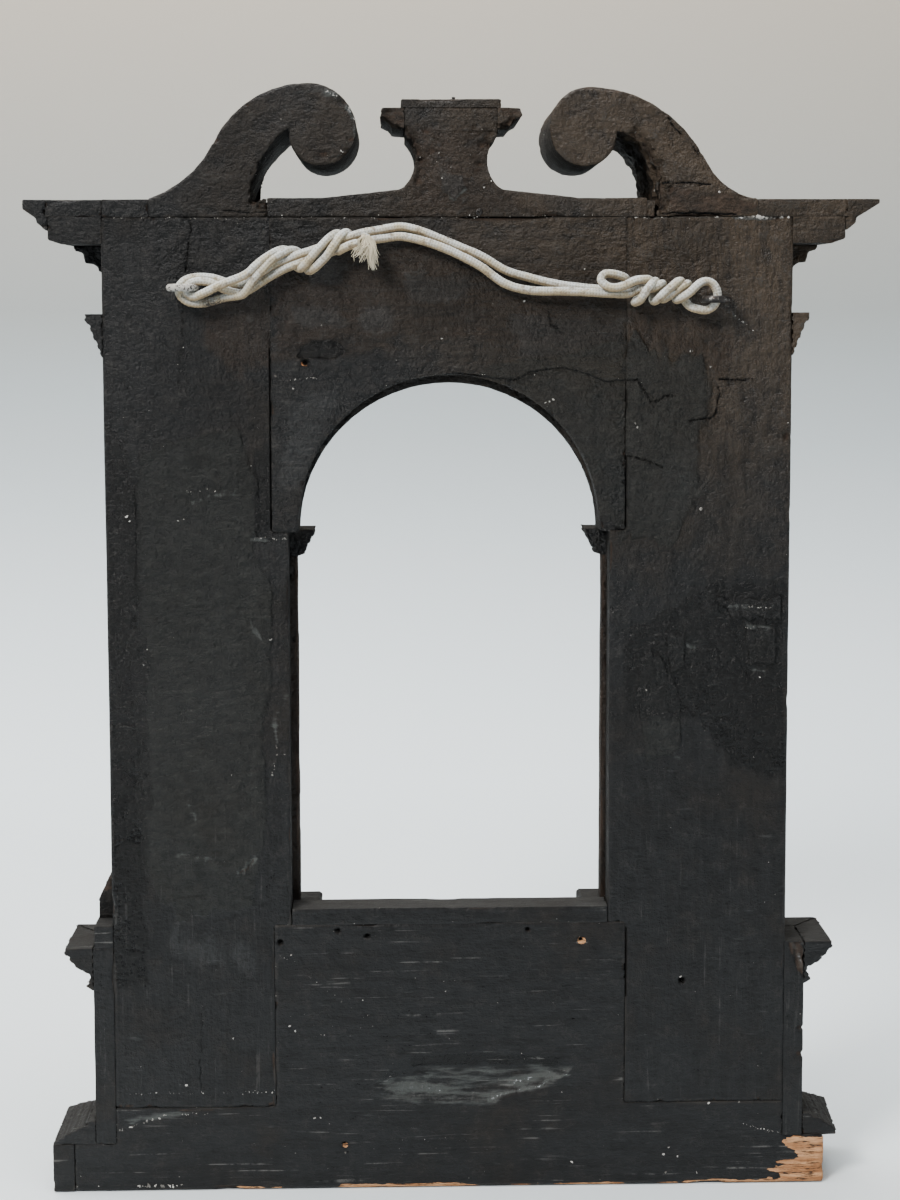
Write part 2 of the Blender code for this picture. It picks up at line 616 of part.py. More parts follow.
def make_scroll(name, side, inner_end, foot_width, heading, arcs, stem_step, stem_bulge):
    """One volute of the broken pediment: a foot let in between the top boards, and the scroll above it."""
    toe_x = inner_end + foot_width
    rise = [(toe_x - x, SCROLL_STEP + z) for x, z in arc_chain(heading, arcs)]
    stem = (inner_end + stem_step, SCROLL_STEP)
    outline = [(toe_x, ROOF), *rise, *bulge_between(rise[-1], stem, stem_bulge), stem]
    if stem_step > 0.0:
        outline.append((inner_end, SCROLL_STEP))
    outline.append((inner_end, ROOF))
    bm = board([(side * x, z) for x, z in outline], 0.0, ROOF_FRONT)
    line = place(0.0, 0.0, SCROLL_STEP)
    whole = bm.verts[:] + bm.edges[:] + bm.faces[:]
    bmesh.ops.bisect_plane(bm, geom=whole, plane_co=line, plane_no=(0.0, 0.0, 1.0))
    bm.faces.ensure_lookup_table()
    front_y = BACK_Y - ROOF_FRONT
    upper = [face for face in bm.faces
             if all(abs(vert.co.y - front_y) < GAP for vert in face.verts)
             and face.calc_center_median().z > SCROLL_STEP]
    grown = bmesh.ops.extrude_face_region(bm, geom=upper)["geom"]
    moved = [item for item in grown if isinstance(item, bmesh.types.BMVert)]
    bmesh.ops.delete(bm, geom=upper, context="FACES")
    bmesh.ops.translate(bm, verts=moved, vec=(0.0, -SCROLL_OVERHANG, 0.0))
    keep(name, bm, smooth=True)


# Screw eyes
def make_screw_eye(name, x, z, stile):
    """A screw eye turned flat, with its shank in a hole bored in the stile."""
    across = Matrix.Rotation(math.radians(90.0), 4, "X")
    bpy.ops.mesh.primitive_torus_add(location=place(x, -EYE_STANDOFF, z), major_radius=EYE_RADIUS,
                                     minor_radius=EYE_WIRE, major_segments=24, minor_segments=10)
    eye = bpy.context.object
    eye.name = eye.data.name = name
    near = EYE_RADIUS - EYE_STANDOFF
    shank_mid = (EYE_SHANK_LENGTH + near) / 2.0
    rods = (("shank", EYE_SHANK, EYE_SHANK_LENGTH - near), ("hole", EYE_SHANK + GAP, EYE_SHANK_LENGTH - near + GAP))
    for word, radius, length in rods:
        bm = bmesh.new()
        bmesh.ops.create_cone(bm, cap_ends=True, segments=16, radius1=radius, radius2=radius, depth=length,
                              matrix=Matrix.Translation(place(x, shank_mid, z)) @ across)
        mesh = bpy.data.meshes.new(name + "_" + word)
        bm.to_mesh(mesh)
        bm.free()
        tool = bpy.data.objects.new(name + "_" + word, mesh)
        bpy.context.scene.collection.objects.link(tool)
        tool.hide_render = True
        tool.display_type = "WIRE"
        target, operation = (eye, "UNION") if word == "shank" else (stile, "DIFFERENCE")
        cut = target.modifiers.new(word, "BOOLEAN")
        cut.operation = operation
        cut.solver = "EXACT"
        cut.object = tool
    eye.data.shade_smooth()
    dress(eye, IRON)


# Rope
def smooth_route(route, spacing):
    """Evenly spaced points on the smooth curve through a route's points."""
    knots = [Vector(point) for point in route]
    knots = [2.0 * knots[0] - knots[1], *knots, 2.0 * knots[-1] - knots[-2]]
    fine = []
    for a, b, c, d in zip(knots, knots[1:], knots[2:], knots[3:]):
        for index in range(20):
            t = index / 20
            fine.append(0.5 * (2.0 * b + (c - a) * t + (2.0 * a - 5.0 * b + 4.0 * c - d) * t * t
                               + (3.0 * b - a - 3.0 * c + d) * t ** 3))
    fine.append(knots[-2])
    length = sum((b - a).length for a, b in zip(fine, fine[1:]))
    count = max(2, round(length / spacing))
    points = [fine[0]]
    walked = 0.0
    for a, b in zip(fine, fine[1:]):
        walked += (b - a).length
        if len(points) < count and walked >= length * len(points) / count:
            points.append(b)
    points.append(fine[-1])
    return points


def make_cord(name, route, spacing, radius=CORD / 2.0, taper=(1.0, 1.0), sides=2):
    """A length of cord along a route of width, distance behind the back plane, and height."""
    curve = bpy.data.curves.new(name, "CURVE")
    curve.dimensions = "3D"
    curve.bevel_depth = radius
    curve.bevel_resolution = sides
    curve.use_fill_caps = True
    spline = curve.splines.new("POLY")
    points = smooth_route(route, spacing)
    spline.points.add(len(points) - 1)
    for index, (x, behind, z) in enumerate(points):
        share = index / (len(points) - 1)
        spline.points[index].co = (*place(x, -behind, z), 1.0)
        spline.points[index].radius = taper[0] + (taper[1] - taper[0]) * share ** 3
    cord = bpy.data.objects.new(name, curve)
    bpy.context.scene.collection.objects.link(cord)
    dress(cord, ROPE)


# Routes, read off the rope as it hangs: width, distance behind the back plane, height
LEFT_TWIST_ROUTE = [
    (0.1150, 0.0078, 0.5099), (0.1080, 0.0078, 0.5115), (0.1010, 0.0078, 0.5163), (0.0940, 0.0078, 0.5216),
    (0.0860, 0.0077, 0.5255), (0.0780, 0.0076, 0.5280), (0.0700, 0.0076, 0.5308), (0.0620, 0.0076, 0.5340),
    (0.0540, 0.0074, 0.5370), (0.0460, 0.0065, 0.5396), (0.0392, 0.0056, 0.5402),
]
LEFT_LOOP_ROUTE = [
    (0.1174, 0.0080, 0.5132), (0.1221, 0.0085, 0.5152), (0.1301, 0.0090, 0.5169), (0.1367, 0.0092, 0.5168),
    (0.1424, 0.0092, 0.5152), (0.1454, 0.0092, 0.5115), (0.1452, 0.0092, 0.5070), (0.1412, 0.0092, 0.5039),
    (0.1357, 0.0090, 0.5028), (0.1292, 0.0086, 0.5040), (0.1221, 0.0082, 0.5062), (0.1170, 0.0080, 0.5078),
]
UPPER_ROUTE = [
    (0.0380, 0.0040, 0.5428), (0.0320, 0.0036, 0.5439), (0.0255, 0.0032, 0.5445), (0.0157, 0.0029, 0.5424),
    (0.0047, 0.0028, 0.5381), (-0.0062, 0.0028, 0.5335), (-0.0172, 0.0028, 0.5289), (-0.0309, 0.0028, 0.5209),
    (-0.0446, 0.0028, 0.5166), (-0.0611, 0.0027, 0.5128), (-0.0776, 0.0027, 0.5108), (-0.0885, 0.0027, 0.5102),
    (-0.0950, 0.0031, 0.5119), (-0.0970, 0.0046, 0.5148), (-0.0945, 0.0064, 0.5176), (-0.0900, 0.0082, 0.5186),
    (-0.0855, 0.0100, 0.5172), (-0.0836, 0.0115, 0.5143), (-0.0860, 0.0126, 0.5119), (-0.0910, 0.0130, 0.5113),
    (-0.0960, 0.0126, 0.5117), (-0.1006, 0.0118, 0.5121),
]
LOWER_ROUTE = [
    (0.0380, 0.0040, 0.5378), (0.0320, 0.0042, 0.5387), (0.0255, 0.0046, 0.5392), (0.0157, 0.0054, 0.5372),
    (0.0047, 0.0060, 0.5336), (-0.0062, 0.0060, 0.5288), (-0.0172, 0.0060, 0.5229), (-0.0309, 0.0060, 0.5133),
    (-0.0446, 0.0066, 0.5097), (-0.0611, 0.0075, 0.5092), (-0.0776, 0.0078, 0.5086), (-0.0898, 0.0079, 0.5079),
    (-0.1010, 0.0078, 0.5077),
]
RIGHT_TWIST_ROUTE = [
    (-0.1018, 0.0076, 0.5091), (-0.1080, 0.0076, 0.5093), (-0.1150, 0.0076, 0.5093), (-0.1220, 0.0076, 0.5087),
    (-0.1290, 0.0077, 0.5078),
]
RIGHT_LOOP_ROUTE = [
    (-0.1304, 0.0080, 0.5115), (-0.1338, 0.0084, 0.5125), (-0.1377, 0.0088, 0.5137), (-0.1423, 0.0091, 0.5142),
    (-0.1460, 0.0092, 0.5114), (-0.1471, 0.0092, 0.5062), (-0.1455, 0.0092, 0.5002), (-0.1411, 0.0090, 0.4969),
    (-0.1358, 0.0086, 0.4982), (-0.1331, 0.0082, 0.5002), (-0.1308, 0.0080, 0.5018),
]
KNOT_CENTRE = (0.0441, 0.0066, 0.5275)
KNOT_RADII = (0.0058, 0.0050, 0.0060)


def make_rope():
    """The two twists with their loops through the eyes, the strands between them, and the frayed knot."""
    make_cord("rope_twist_left", LEFT_TWIST_ROUTE, TWIST_POINT_SPACING, TWIST_RADIUS, (1.0, 0.72), 4)
    make_cord("rope_loop_left", LEFT_LOOP_ROUTE, LOOP_POINT_SPACING)
    make_cord("rope_strand_upper", UPPER_ROUTE, LOOP_POINT_SPACING)
    make_cord("rope_strand_lower", LOWER_ROUTE, CORD_POINT_SPACING)
    make_cord("rope_twist_right", RIGHT_TWIST_ROUTE, TWIST_POINT_SPACING, TWIST_RADIUS, (1.0, 1.0), 4)
    make_cord("rope_loop_right", RIGHT_LOOP_ROUTE, LOOP_POINT_SPACING)
    x, behind, z = KNOT_CENTRE
    bm = bmesh.new()
    bmesh.ops.create_icosphere(bm, subdivisions=2, radius=1.0)
    bmesh.ops.scale(bm, vec=KNOT_RADII, verts=bm.verts[:])
    bmesh.ops.translate(bm, vec=place(x, -behind, z), verts=bm.verts[:])
    keep("rope_knot", bm, ROPE, smooth=True)


left_stile = make_stile("stile_left", 1.0)
right_stile = make_stile("stile_right", -1.0)
make_arch_rail()
make_base_board()
make_sill_strip()
make_dado()
make_plinth()
make_base_moulding()
make_ledge_moulding()
make_pilaster("left", 1.0, LEFT_ASTRAGAL_OUT, 0.0, PILASTER_BASE_RETURN)
make_pilaster("right", -1.0, RIGHT_ASTRAGAL_OUT, None, None)
make_inner_order("left", 1.0, LEFT_STRIP_SETBACK)
make_inner_order("right", -1.0, RIGHT_STRIP_SETBACK)
make_archivolt()
make_frieze()
make_corona()
make_cornice_moulding()
make_top_boards()
make_pediment_board()
make_filler_strip()
make_scroll("scroll_left", 1.0, LEFT_SCROLL_START, LEFT_SCROLL_FOOT, LEFT_SCROLL_HEADING, LEFT_SCROLL_ARCS,
            LEFT_STEM_STEP, LEFT_STEM_BULGE)
make_scroll("scroll_right", -1.0, RIGHT_SCROLL_START, RIGHT_SCROLL_FOOT, RIGHT_SCROLL_HEADING,
            RIGHT_SCROLL_ARCS, 0.0, RIGHT_STEM_BULGE)
make_screw_eye("screw_eye_left", BODY_HALF - LEFT_EYE_INSET, BODY_TOP - LEFT_EYE_DROP, left_stile)
make_screw_eye("screw_eye_right", RIGHT_EYE_INSET - BODY_HALF, BODY_TOP - RIGHT_EYE_DROP, right_stile)
make_rope()
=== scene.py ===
import functools
import math

import bmesh
import bpy
import numpy as np
from mathutils import Matrix, Vector, noise


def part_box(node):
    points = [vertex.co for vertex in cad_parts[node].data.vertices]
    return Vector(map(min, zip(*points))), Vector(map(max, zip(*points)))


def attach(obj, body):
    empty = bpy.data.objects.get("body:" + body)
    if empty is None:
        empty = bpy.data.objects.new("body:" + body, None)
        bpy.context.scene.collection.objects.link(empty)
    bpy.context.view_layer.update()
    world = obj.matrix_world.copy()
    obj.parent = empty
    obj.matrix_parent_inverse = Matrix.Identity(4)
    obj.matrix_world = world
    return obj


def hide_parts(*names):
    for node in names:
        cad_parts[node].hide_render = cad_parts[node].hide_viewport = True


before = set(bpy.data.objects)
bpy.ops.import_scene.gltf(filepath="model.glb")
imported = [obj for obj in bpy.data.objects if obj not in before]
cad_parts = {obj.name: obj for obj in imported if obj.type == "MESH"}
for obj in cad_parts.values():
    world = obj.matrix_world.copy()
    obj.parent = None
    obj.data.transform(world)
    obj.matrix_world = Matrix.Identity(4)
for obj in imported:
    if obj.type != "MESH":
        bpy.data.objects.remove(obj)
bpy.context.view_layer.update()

# The room: a pale table top that turns up into a pale wall, a wide soft light over the left shoulder,
# a weaker one from the right and a dim sky. The camera stands square behind the frame, a little to one
# side and a little above its middle, and looks slightly down.
BACK_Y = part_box("stile_left")[1][1]
FLOOR_Z = -0.0009
CAMERA_PLACE = (0.0273, 1.1055, 0.4984)
CAMERA_RIGHT = (-0.99968, 0.02535, -0.00234)
CAMERA_UP = (-0.00446, -0.08399, 0.99646)
CAMERA_BACK = (0.02506, 0.99614, 0.08408)
LENS = 60.0
SHIFT_UP = -0.10


def add_camera():
    data = bpy.data.cameras.new("camera")
    data.lens = LENS
    data.sensor_width = 36.0
    data.shift_y = SHIFT_UP
    data.clip_start = 0.01
    camera = bpy.data.objects.new("camera", data)
    x, y, z = CAMERA_PLACE
    turn = Matrix((CAMERA_RIGHT, CAMERA_UP, CAMERA_BACK)).transposed().to_4x4()
    camera.matrix_world = Matrix.Translation((x, y + BACK_Y, z)) @ turn
    bpy.context.scene.collection.objects.link(camera)
    bpy.context.scene.camera = camera


def add_light(name, place, target, size, power, colour=(1.0, 1.0, 1.0)):
    data = bpy.data.lights.new(name, "AREA")
    data.shape = "RECTANGLE"
    data.size, data.size_y = size
    data.energy = power
    data.color = colour
    lamp = bpy.data.objects.new(name, data)
    lamp.location = place
    lamp.rotation_euler = (Vector(target) - Vector(place)).to_track_quat("-Z", "Y").to_euler()
    bpy.context.scene.collection.objects.link(lamp)


def plain_material(name, colour, roughness):
    material = bpy.data.materials.new(name)
    material.use_nodes = True
    shader = material.node_tree.nodes["Principled BSDF"]
    shader.inputs["Base Color"].default_value = (*colour, 1.0)
    shader.inputs["Roughness"].default_value = roughness
    return material


def new_object(name, mesh, material=None):
    obj = bpy.data.objects.new(name, mesh)
    bpy.context.scene.collection.objects.link(obj)
    if material:
        mesh.materials.append(material)
    return obj


def smooth_mesh(name, bm):
    mesh = bpy.data.meshes.new(name)
    bmesh.ops.recalc_face_normals(bm, faces=bm.faces[:])
    bm.to_mesh(mesh)
    bm.free()
    mesh.shade_smooth()
    return mesh


class Wire:
    """A socket inside a material. Sums on it add Math nodes, and node() adds a node of any other kind."""

    def __init__(self, tree, socket=None):
        self.tree = tree
        self.socket = socket

    def node(self, kind, sockets=None, settings=None, output=0):
        made = self.tree.nodes.new(kind)
        for name, value in (settings or {}).items():
            setattr(made, name, value)
        for name, value in (sockets or {}).items():
            if isinstance(value, Wire):
                self.tree.links.new(value.socket, made.inputs[name])
            elif made.inputs[name].type == "RGBA":
                made.inputs[name].default_value = (*value, 1.0)
            else:
                made.inputs[name].default_value = value
        return Wire(self.tree, made.outputs[output])

    def sum(self, operation, first, second):
        return self.node("ShaderNodeMath", {0: first, 1: second}, {"operation": operation})

    def __add__(self, other):
        return self.sum("ADD", self, other)

    def __radd__(self, other):
        return self.sum("ADD", other, self)

    def __sub__(self, other):
        return self.sum("SUBTRACT", self, other)

    def __rsub__(self, other):
        return self.sum("SUBTRACT", other, self)

    def __mul__(self, other):
        return self.sum("MULTIPLY", self, other)

    def __rmul__(self, other):
        return self.sum("MULTIPLY", other, self)

    def plain(self):
        """This value without its sign."""
        return self.sum("ABSOLUTE", self, 0.0)

    def sine(self):
        return self.sum("SINE", self, 0.0)

    def ramp(self, low, high):
        """0 below low, 1 above high, and a smooth rise between them."""
        sockets = {"Value": self, "From Min": low, "From Max": high}
        return self.node("ShaderNodeMapRange", sockets, {"interpolation_type": "SMOOTHSTEP"})

    def mixed(self, first, second):
        """The first colour where this mask is 0, and the second where it is 1."""
        return self.node("ShaderNodeMix", {"Factor": self, 6: first, 7: second}, {"data_type": "RGBA"}, 2)

    def drawn(self, stretch):
        """This place with every pattern on it drawn out, across, in depth and up."""
        scale = tuple(1.0 / share for share in stretch)
        return self.node("ShaderNodeMapping", {"Vector": self, "Scale": scale})

    def noise(self, size, detail=3.0, roughness=0.55):
        """Cloudy noise whose patches are about size metres across."""
        sockets = {"Vector": self, "Scale": 1.0 / size, "Detail": detail, "Roughness": roughness}
        return self.node("ShaderNodeTexNoise", sockets)

    def parts(self):
        return [self.node("ShaderNodeSeparateXYZ", {0: self}, output=axis) for axis in range(3)]

    def attribute(self, name):
        return self.node("ShaderNodeAttribute", settings={"attribute_name": name}, output=2)


def place_on(material):
    """The place on the object of whatever a material colours."""
    return Wire(material.node_tree).node("ShaderNodeTexCoord", output=3)


def add_floor():
    """A table top with a bend up into the wall behind it, with painted light and shade: pale blue low down,
    darker and browner high up.
    """
    bm = bmesh.new()
    front = 0.55
    wall = -1.1
    bend = 0.35
    half = 4.0
    steps = 8
    points = [Vector((-half, front, FLOOR_Z)), Vector((-half, wall + bend, FLOOR_Z))]
    for index in range(1, steps + 1):
        angle = math.pi / 2 * index / steps
        rise = FLOOR_Z + bend * (1.0 - math.cos(angle))
        points.append(Vector((-half, wall + bend * (1.0 - math.sin(angle)), rise)))
    points.append(Vector((-half, wall, 3.5)))
    verts = [bm.verts.new(point) for point in points]
    edges = [bm.edges.new(pair) for pair in zip(verts, verts[1:])]
    grown = bmesh.ops.extrude_edge_only(bm, edges=edges)["geom"]
    far_side = [item for item in grown if isinstance(item, bmesh.types.BMVert)]
    bmesh.ops.translate(bm, verts=far_side, vec=(2.0 * half, 0.0, 0.0))
    paper = plain_material("pale_table", (0.62, 0.61, 0.60), 0.8)
    floor = new_object("floor", smooth_mesh("floor", bm), paper)
    up = place_on(paper).parts()[2]
    # Painted light and shade: pale blue on the table, turning darker grey and then browner up the wall
    tint = (0.88, 0.96, 1.0)
    for low, high, colour in ((0.02, 0.50, (0.32, 0.35, 0.355)), (0.42, 0.95, (0.48, 0.42, 0.34))):
        rise = up.node("ShaderNodeMapRange", {"Value": up, "From Min": low, "From Max": high})
        tint = rise.mixed(tint, colour)
    paper.node_tree.links.new(tint.socket, paper.node_tree.nodes["Principled BSDF"].inputs["Base Color"])


add_camera()
add_floor()
add_light("window", (1.3, 1.7, 2.0), (0.0, 0.0, 0.35), (0.7, 0.7), 84.0, (1.0, 0.965, 0.92))
add_light("fill", (-1.8, 1.4, 0.9), (0.0, 0.0, 0.3), (1.4, 1.4), 8.0, (0.93, 0.96, 1.0))
add_light("wall_wash", (0.4, -0.2, 2.4), (0.0, -0.9, 0.5), (2.6, 1.0), 86.0)
world = bpy.data.worlds.new("room_light")
world.use_nodes = True
world.node_tree.nodes["Background"].inputs["Color"].default_value = (0.80, 0.84, 0.90, 1.0)
world.node_tree.nodes["Background"].inputs["Strength"].default_value = 0.20
bpy.context.scene.world = world


# The hanging rope: one length of soiled cotton line, tied between the two screw eyes. It passes once
# through the right eye and twice through the left one, is wound back on itself beside each, and lies
# doubled between. Its routes are places across, behind the back plane and up.
# The plaits are counted round the line, and their rate along it is in radians a metre.
CORD = 0.0047
PLAITS = 4.0
PLAIT_RATE = 1900.0
ROUTE = [
    # The first end, from the frayed tuft back round the left twist to the foot of the left loop
    (0.0450, 0.0106, 0.5402), (0.0459, 0.0109, 0.5374), (0.0473, 0.0094, 0.5336), (0.0493, 0.0050, 0.5319),
    (0.0513, 0.0026, 0.5352), (0.0534, 0.0030, 0.5392), (0.0554, 0.0052, 0.5413), (0.0572, 0.0076, 0.5408),
    (0.0592, 0.0096, 0.5390), (0.0609, 0.0110, 0.5366), (0.0628, 0.0118, 0.5338), (0.0648, 0.0120, 0.5308),
    (0.0670, 0.0120, 0.5278), (0.0696, 0.0118, 0.5252), (0.0722, 0.0110, 0.5228), (0.0745, 0.0090, 0.5212),
    (0.0764, 0.0052, 0.5206), (0.0777, 0.0030, 0.5216), (0.0787, 0.0025, 0.5242), (0.0800, 0.0025, 0.5276),
    (0.0818, 0.0029, 0.5304), (0.0841, 0.0048, 0.5316), (0.0867, 0.0070, 0.5318), (0.0892, 0.0088, 0.5308),
    (0.0919, 0.0103, 0.5293), (0.0946, 0.0114, 0.5276), (0.0972, 0.0120, 0.5255), (0.0998, 0.0123, 0.5228),
    (0.1024, 0.0124, 0.5200), (0.1045, 0.0124, 0.5176), (0.1066, 0.0124, 0.5151), (0.1084, 0.0121, 0.5124),
    (0.1103, 0.0113, 0.5096), (0.1126, 0.0098, 0.5076),
    # Out round the left eye, and back inside the twist as its upper core
    (0.1164, 0.0086, 0.5070), (0.1223, 0.0080, 0.5062), (0.1286, 0.0078, 0.5043), (0.1349, 0.0078, 0.5030),
    (0.1406, 0.0080, 0.5034), (0.1442, 0.0082, 0.5050), (0.1466, 0.0084, 0.5076), (0.1473, 0.0084, 0.5104),
    (0.1464, 0.0080, 0.5130), (0.1436, 0.0072, 0.5156), (0.1394, 0.0066, 0.5169), (0.1347, 0.0062, 0.5173),
    (0.1284, 0.0060, 0.5167), (0.1222, 0.0064, 0.5146), (0.1166, 0.0069, 0.5129), (0.1110, 0.0072, 0.5132),
    (0.1055, 0.0074, 0.5166), (0.1000, 0.0074, 0.5206), (0.0940, 0.0074, 0.5243), (0.0880, 0.0074, 0.5269),
    (0.0820, 0.0074, 0.5293), (0.0760, 0.0074, 0.5312), (0.0700, 0.0074, 0.5333), (0.0620, 0.0073, 0.5362),
    (0.0544, 0.0068, 0.5389), (0.0468, 0.0054, 0.5412),
    # The upper strand across the board, and the small loop at its far end
    (0.0380, 0.0040, 0.5428), (0.0320, 0.0036, 0.5439), (0.0255, 0.0032, 0.5445), (0.0157, 0.0029, 0.5424),
    (0.0047, 0.0028, 0.5381), (-0.0062, 0.0028, 0.5335), (-0.0172, 0.0028, 0.5289),
    (-0.0309, 0.0028, 0.5209), (-0.0446, 0.0028, 0.5166), (-0.0611, 0.0027, 0.5128),
    (-0.0776, 0.0027, 0.5108), (-0.0885, 0.0027, 0.5102), (-0.0950, 0.0031, 0.5119),
    (-0.0977, 0.0046, 0.5148), (-0.0960, 0.0064, 0.5168), (-0.0907, 0.0082, 0.5184),
    (-0.0854, 0.0096, 0.5186), (-0.0828, 0.0108, 0.5153), (-0.0861, 0.0120, 0.5118),
    (-0.0907, 0.0124, 0.5110), (-0.0960, 0.0122, 0.5121), (-0.1002, 0.0116, 0.5143),
    (-0.1040, 0.0108, 0.5153),
    # Three turns over the front of the right twist, out to the top of the right loop
    (-0.1072, 0.0094, 0.5155), (-0.1094, 0.0076, 0.5156), (-0.1103, 0.0052, 0.5146),
    (-0.1094, 0.0029, 0.5122), (-0.1070, 0.0025, 0.5088), (-0.1044, 0.0026, 0.5058),
    (-0.1028, 0.0036, 0.5038), (-0.1022, 0.0062, 0.5029), (-0.1028, 0.0092, 0.5034),
    (-0.1041, 0.0112, 0.5039), (-0.1058, 0.0121, 0.5064), (-0.1074, 0.0124, 0.5089),
    (-0.1089, 0.0122, 0.5108), (-0.1104, 0.0113, 0.5127), (-0.1122, 0.0090, 0.5142),
    (-0.1136, 0.0060, 0.5146), (-0.1138, 0.0036, 0.5128), (-0.1132, 0.0025, 0.5098),
    (-0.1125, 0.0028, 0.5066), (-0.1122, 0.0048, 0.5041), (-0.1128, 0.0078, 0.5036),
    (-0.1140, 0.0103, 0.5044), (-0.1160, 0.0119, 0.5064), (-0.1183, 0.0124, 0.5086),
    (-0.1207, 0.0124, 0.5108), (-0.1226, 0.0121, 0.5124), (-0.1246, 0.0112, 0.5139),
    (-0.1264, 0.0090, 0.5146), (-0.1276, 0.0058, 0.5145), (-0.1270, 0.0032, 0.5126),
    (-0.1258, 0.0026, 0.5096), (-0.1248, 0.0034, 0.5064), (-0.1248, 0.0059, 0.5045),
    (-0.1258, 0.0089, 0.5045), (-0.1274, 0.0113, 0.5055), (-0.1296, 0.0122, 0.5069),
    (-0.1320, 0.0124, 0.5088), (-0.1342, 0.0121, 0.5109), (-0.1364, 0.0114, 0.5128),
    (-0.1388, 0.0103, 0.5141),
    # Down through the right eye and back underneath
    (-0.1414, 0.0095, 0.5144), (-0.1446, 0.0092, 0.5129), (-0.1467, 0.0092, 0.5096),
    (-0.1472, 0.0092, 0.5062), (-0.1465, 0.0092, 0.5030), (-0.1443, 0.0090, 0.5002),
    (-0.1408, 0.0086, 0.4986), (-0.1364, 0.0082, 0.4992), (-0.1324, 0.0072, 0.5006),
    # Back along the right twist, between those turns
    (-0.1298, 0.0054, 0.5038), (-0.1296, 0.0034, 0.5072), (-0.1309, 0.0033, 0.5108),
    (-0.1314, 0.0057, 0.5130), (-0.1296, 0.0086, 0.5128), (-0.1266, 0.0100, 0.5110),
    (-0.1233, 0.0104, 0.5088), (-0.1203, 0.0100, 0.5066), (-0.1178, 0.0086, 0.5049),
    (-0.1165, 0.0058, 0.5050), (-0.1166, 0.0036, 0.5076), (-0.1175, 0.0037, 0.5109),
    (-0.1176, 0.0059, 0.5130), (-0.1159, 0.0084, 0.5130), (-0.1132, 0.0096, 0.5114),
    (-0.1102, 0.0088, 0.5102), (-0.1068, 0.0079, 0.5104), (-0.1036, 0.0078, 0.5100),
    # The lower strand across the board, and on as the lower core of the left twist
    (-0.1004, 0.0078, 0.5084), (-0.0955, 0.0079, 0.5076), (-0.0898, 0.0079, 0.5078),
    (-0.0776, 0.0078, 0.5086), (-0.0611, 0.0075, 0.5092), (-0.0446, 0.0066, 0.5097),
    (-0.0309, 0.0060, 0.5133), (-0.0172, 0.0060, 0.5229), (-0.0062, 0.0060, 0.5288),
    (0.0047, 0.0060, 0.5336), (0.0157, 0.0054, 0.5372), (0.0255, 0.0046, 0.5392), (0.0320, 0.0042, 0.5387),
    (0.0380, 0.0046, 0.5379), (0.0460, 0.0058, 0.5366), (0.0540, 0.0070, 0.5342), (0.0620, 0.0074, 0.5314),
    (0.0700, 0.0075, 0.5286), (0.0774, 0.0076, 0.5262), (0.0836, 0.0076, 0.5240), (0.0900, 0.0076, 0.5215),
    (0.0960, 0.0076, 0.5184), (0.1015, 0.0076, 0.5150), (0.1070, 0.0077, 0.5114),
    # Through the left eye again, over the front of the loop and round the twist
    (0.1120, 0.0080, 0.5089), (0.1170, 0.0086, 0.5089), (0.1218, 0.0093, 0.5103), (0.1264, 0.0100, 0.5126),
    (0.1305, 0.0106, 0.5143), (0.1357, 0.0110, 0.5150), (0.1402, 0.0110, 0.5140), (0.1427, 0.0108, 0.5115),
    (0.1426, 0.0109, 0.5089), (0.1406, 0.0113, 0.5070), (0.1376, 0.0121, 0.5067), (0.1344, 0.0129, 0.5079),
    (0.1304, 0.0136, 0.5098), (0.1254, 0.0141, 0.5122), (0.1191, 0.0141, 0.5148), (0.1132, 0.0135, 0.5170),
    (0.1089, 0.0129, 0.5195), (0.1055, 0.0125, 0.5227), (0.1013, 0.0121, 0.5263), (0.0966, 0.0108, 0.5294),
    (0.0929, 0.0088, 0.5313), (0.0900, 0.0062, 0.5321), (0.0878, 0.0038, 0.5310), (0.0862, 0.0026, 0.5282),
    (0.0846, 0.0025, 0.5250), (0.0832, 0.0030, 0.5226),
    # The second turn of this end, and its cut stub
    (0.0816, 0.0054, 0.5219), (0.0800, 0.0088, 0.5222), (0.0776, 0.0110, 0.5244), (0.0747, 0.0119, 0.5278),
    (0.0721, 0.0122, 0.5310), (0.0700, 0.0120, 0.5333), (0.0679, 0.0113, 0.5355), (0.0658, 0.0102, 0.5376),
    (0.0638, 0.0088, 0.5393), (0.0616, 0.0066, 0.5406), (0.0594, 0.0042, 0.5404), (0.0584, 0.0027, 0.5376),
    (0.0589, 0.0027, 0.5344), (0.0602, 0.0048, 0.5318), (0.0601, 0.0084, 0.5312), (0.0576, 0.0106, 0.5326),
    (0.0536, 0.0112, 0.5344), (0.0499, 0.0109, 0.5355),
]


def smooth_path(points, step):
    """Evenly spaced points on the smooth curve through a route's points."""
    knots = np.array(points, dtype=float)
    knots = np.vstack((2 * knots[0] - knots[1], knots, 2 * knots[-1] - knots[-2]))
    t = np.linspace(0.0, 1.0, 12, endpoint=False)[:, None]
    fine = []
    for a, b, c, d in zip(knots, knots[1:], knots[2:], knots[3:]):
        fine.append(0.5 * (2 * b + (c - a) * t + (2 * a - 5 * b + 4 * c - d) * t ** 2
                           + (3 * b - a - 3 * c + d) * t ** 3))
    fine = np.vstack((*fine, knots[-2:-1]))
    walked = np.concatenate(([0.0], np.cumsum(np.linalg.norm(np.diff(fine, axis=0), axis=1))))
    stops = np.linspace(0.0, walked[-1], int(walked[-1] / step) + 1)
    return np.array([np.interp(stops, walked, fine[:, axis]) for axis in range(3)]).T


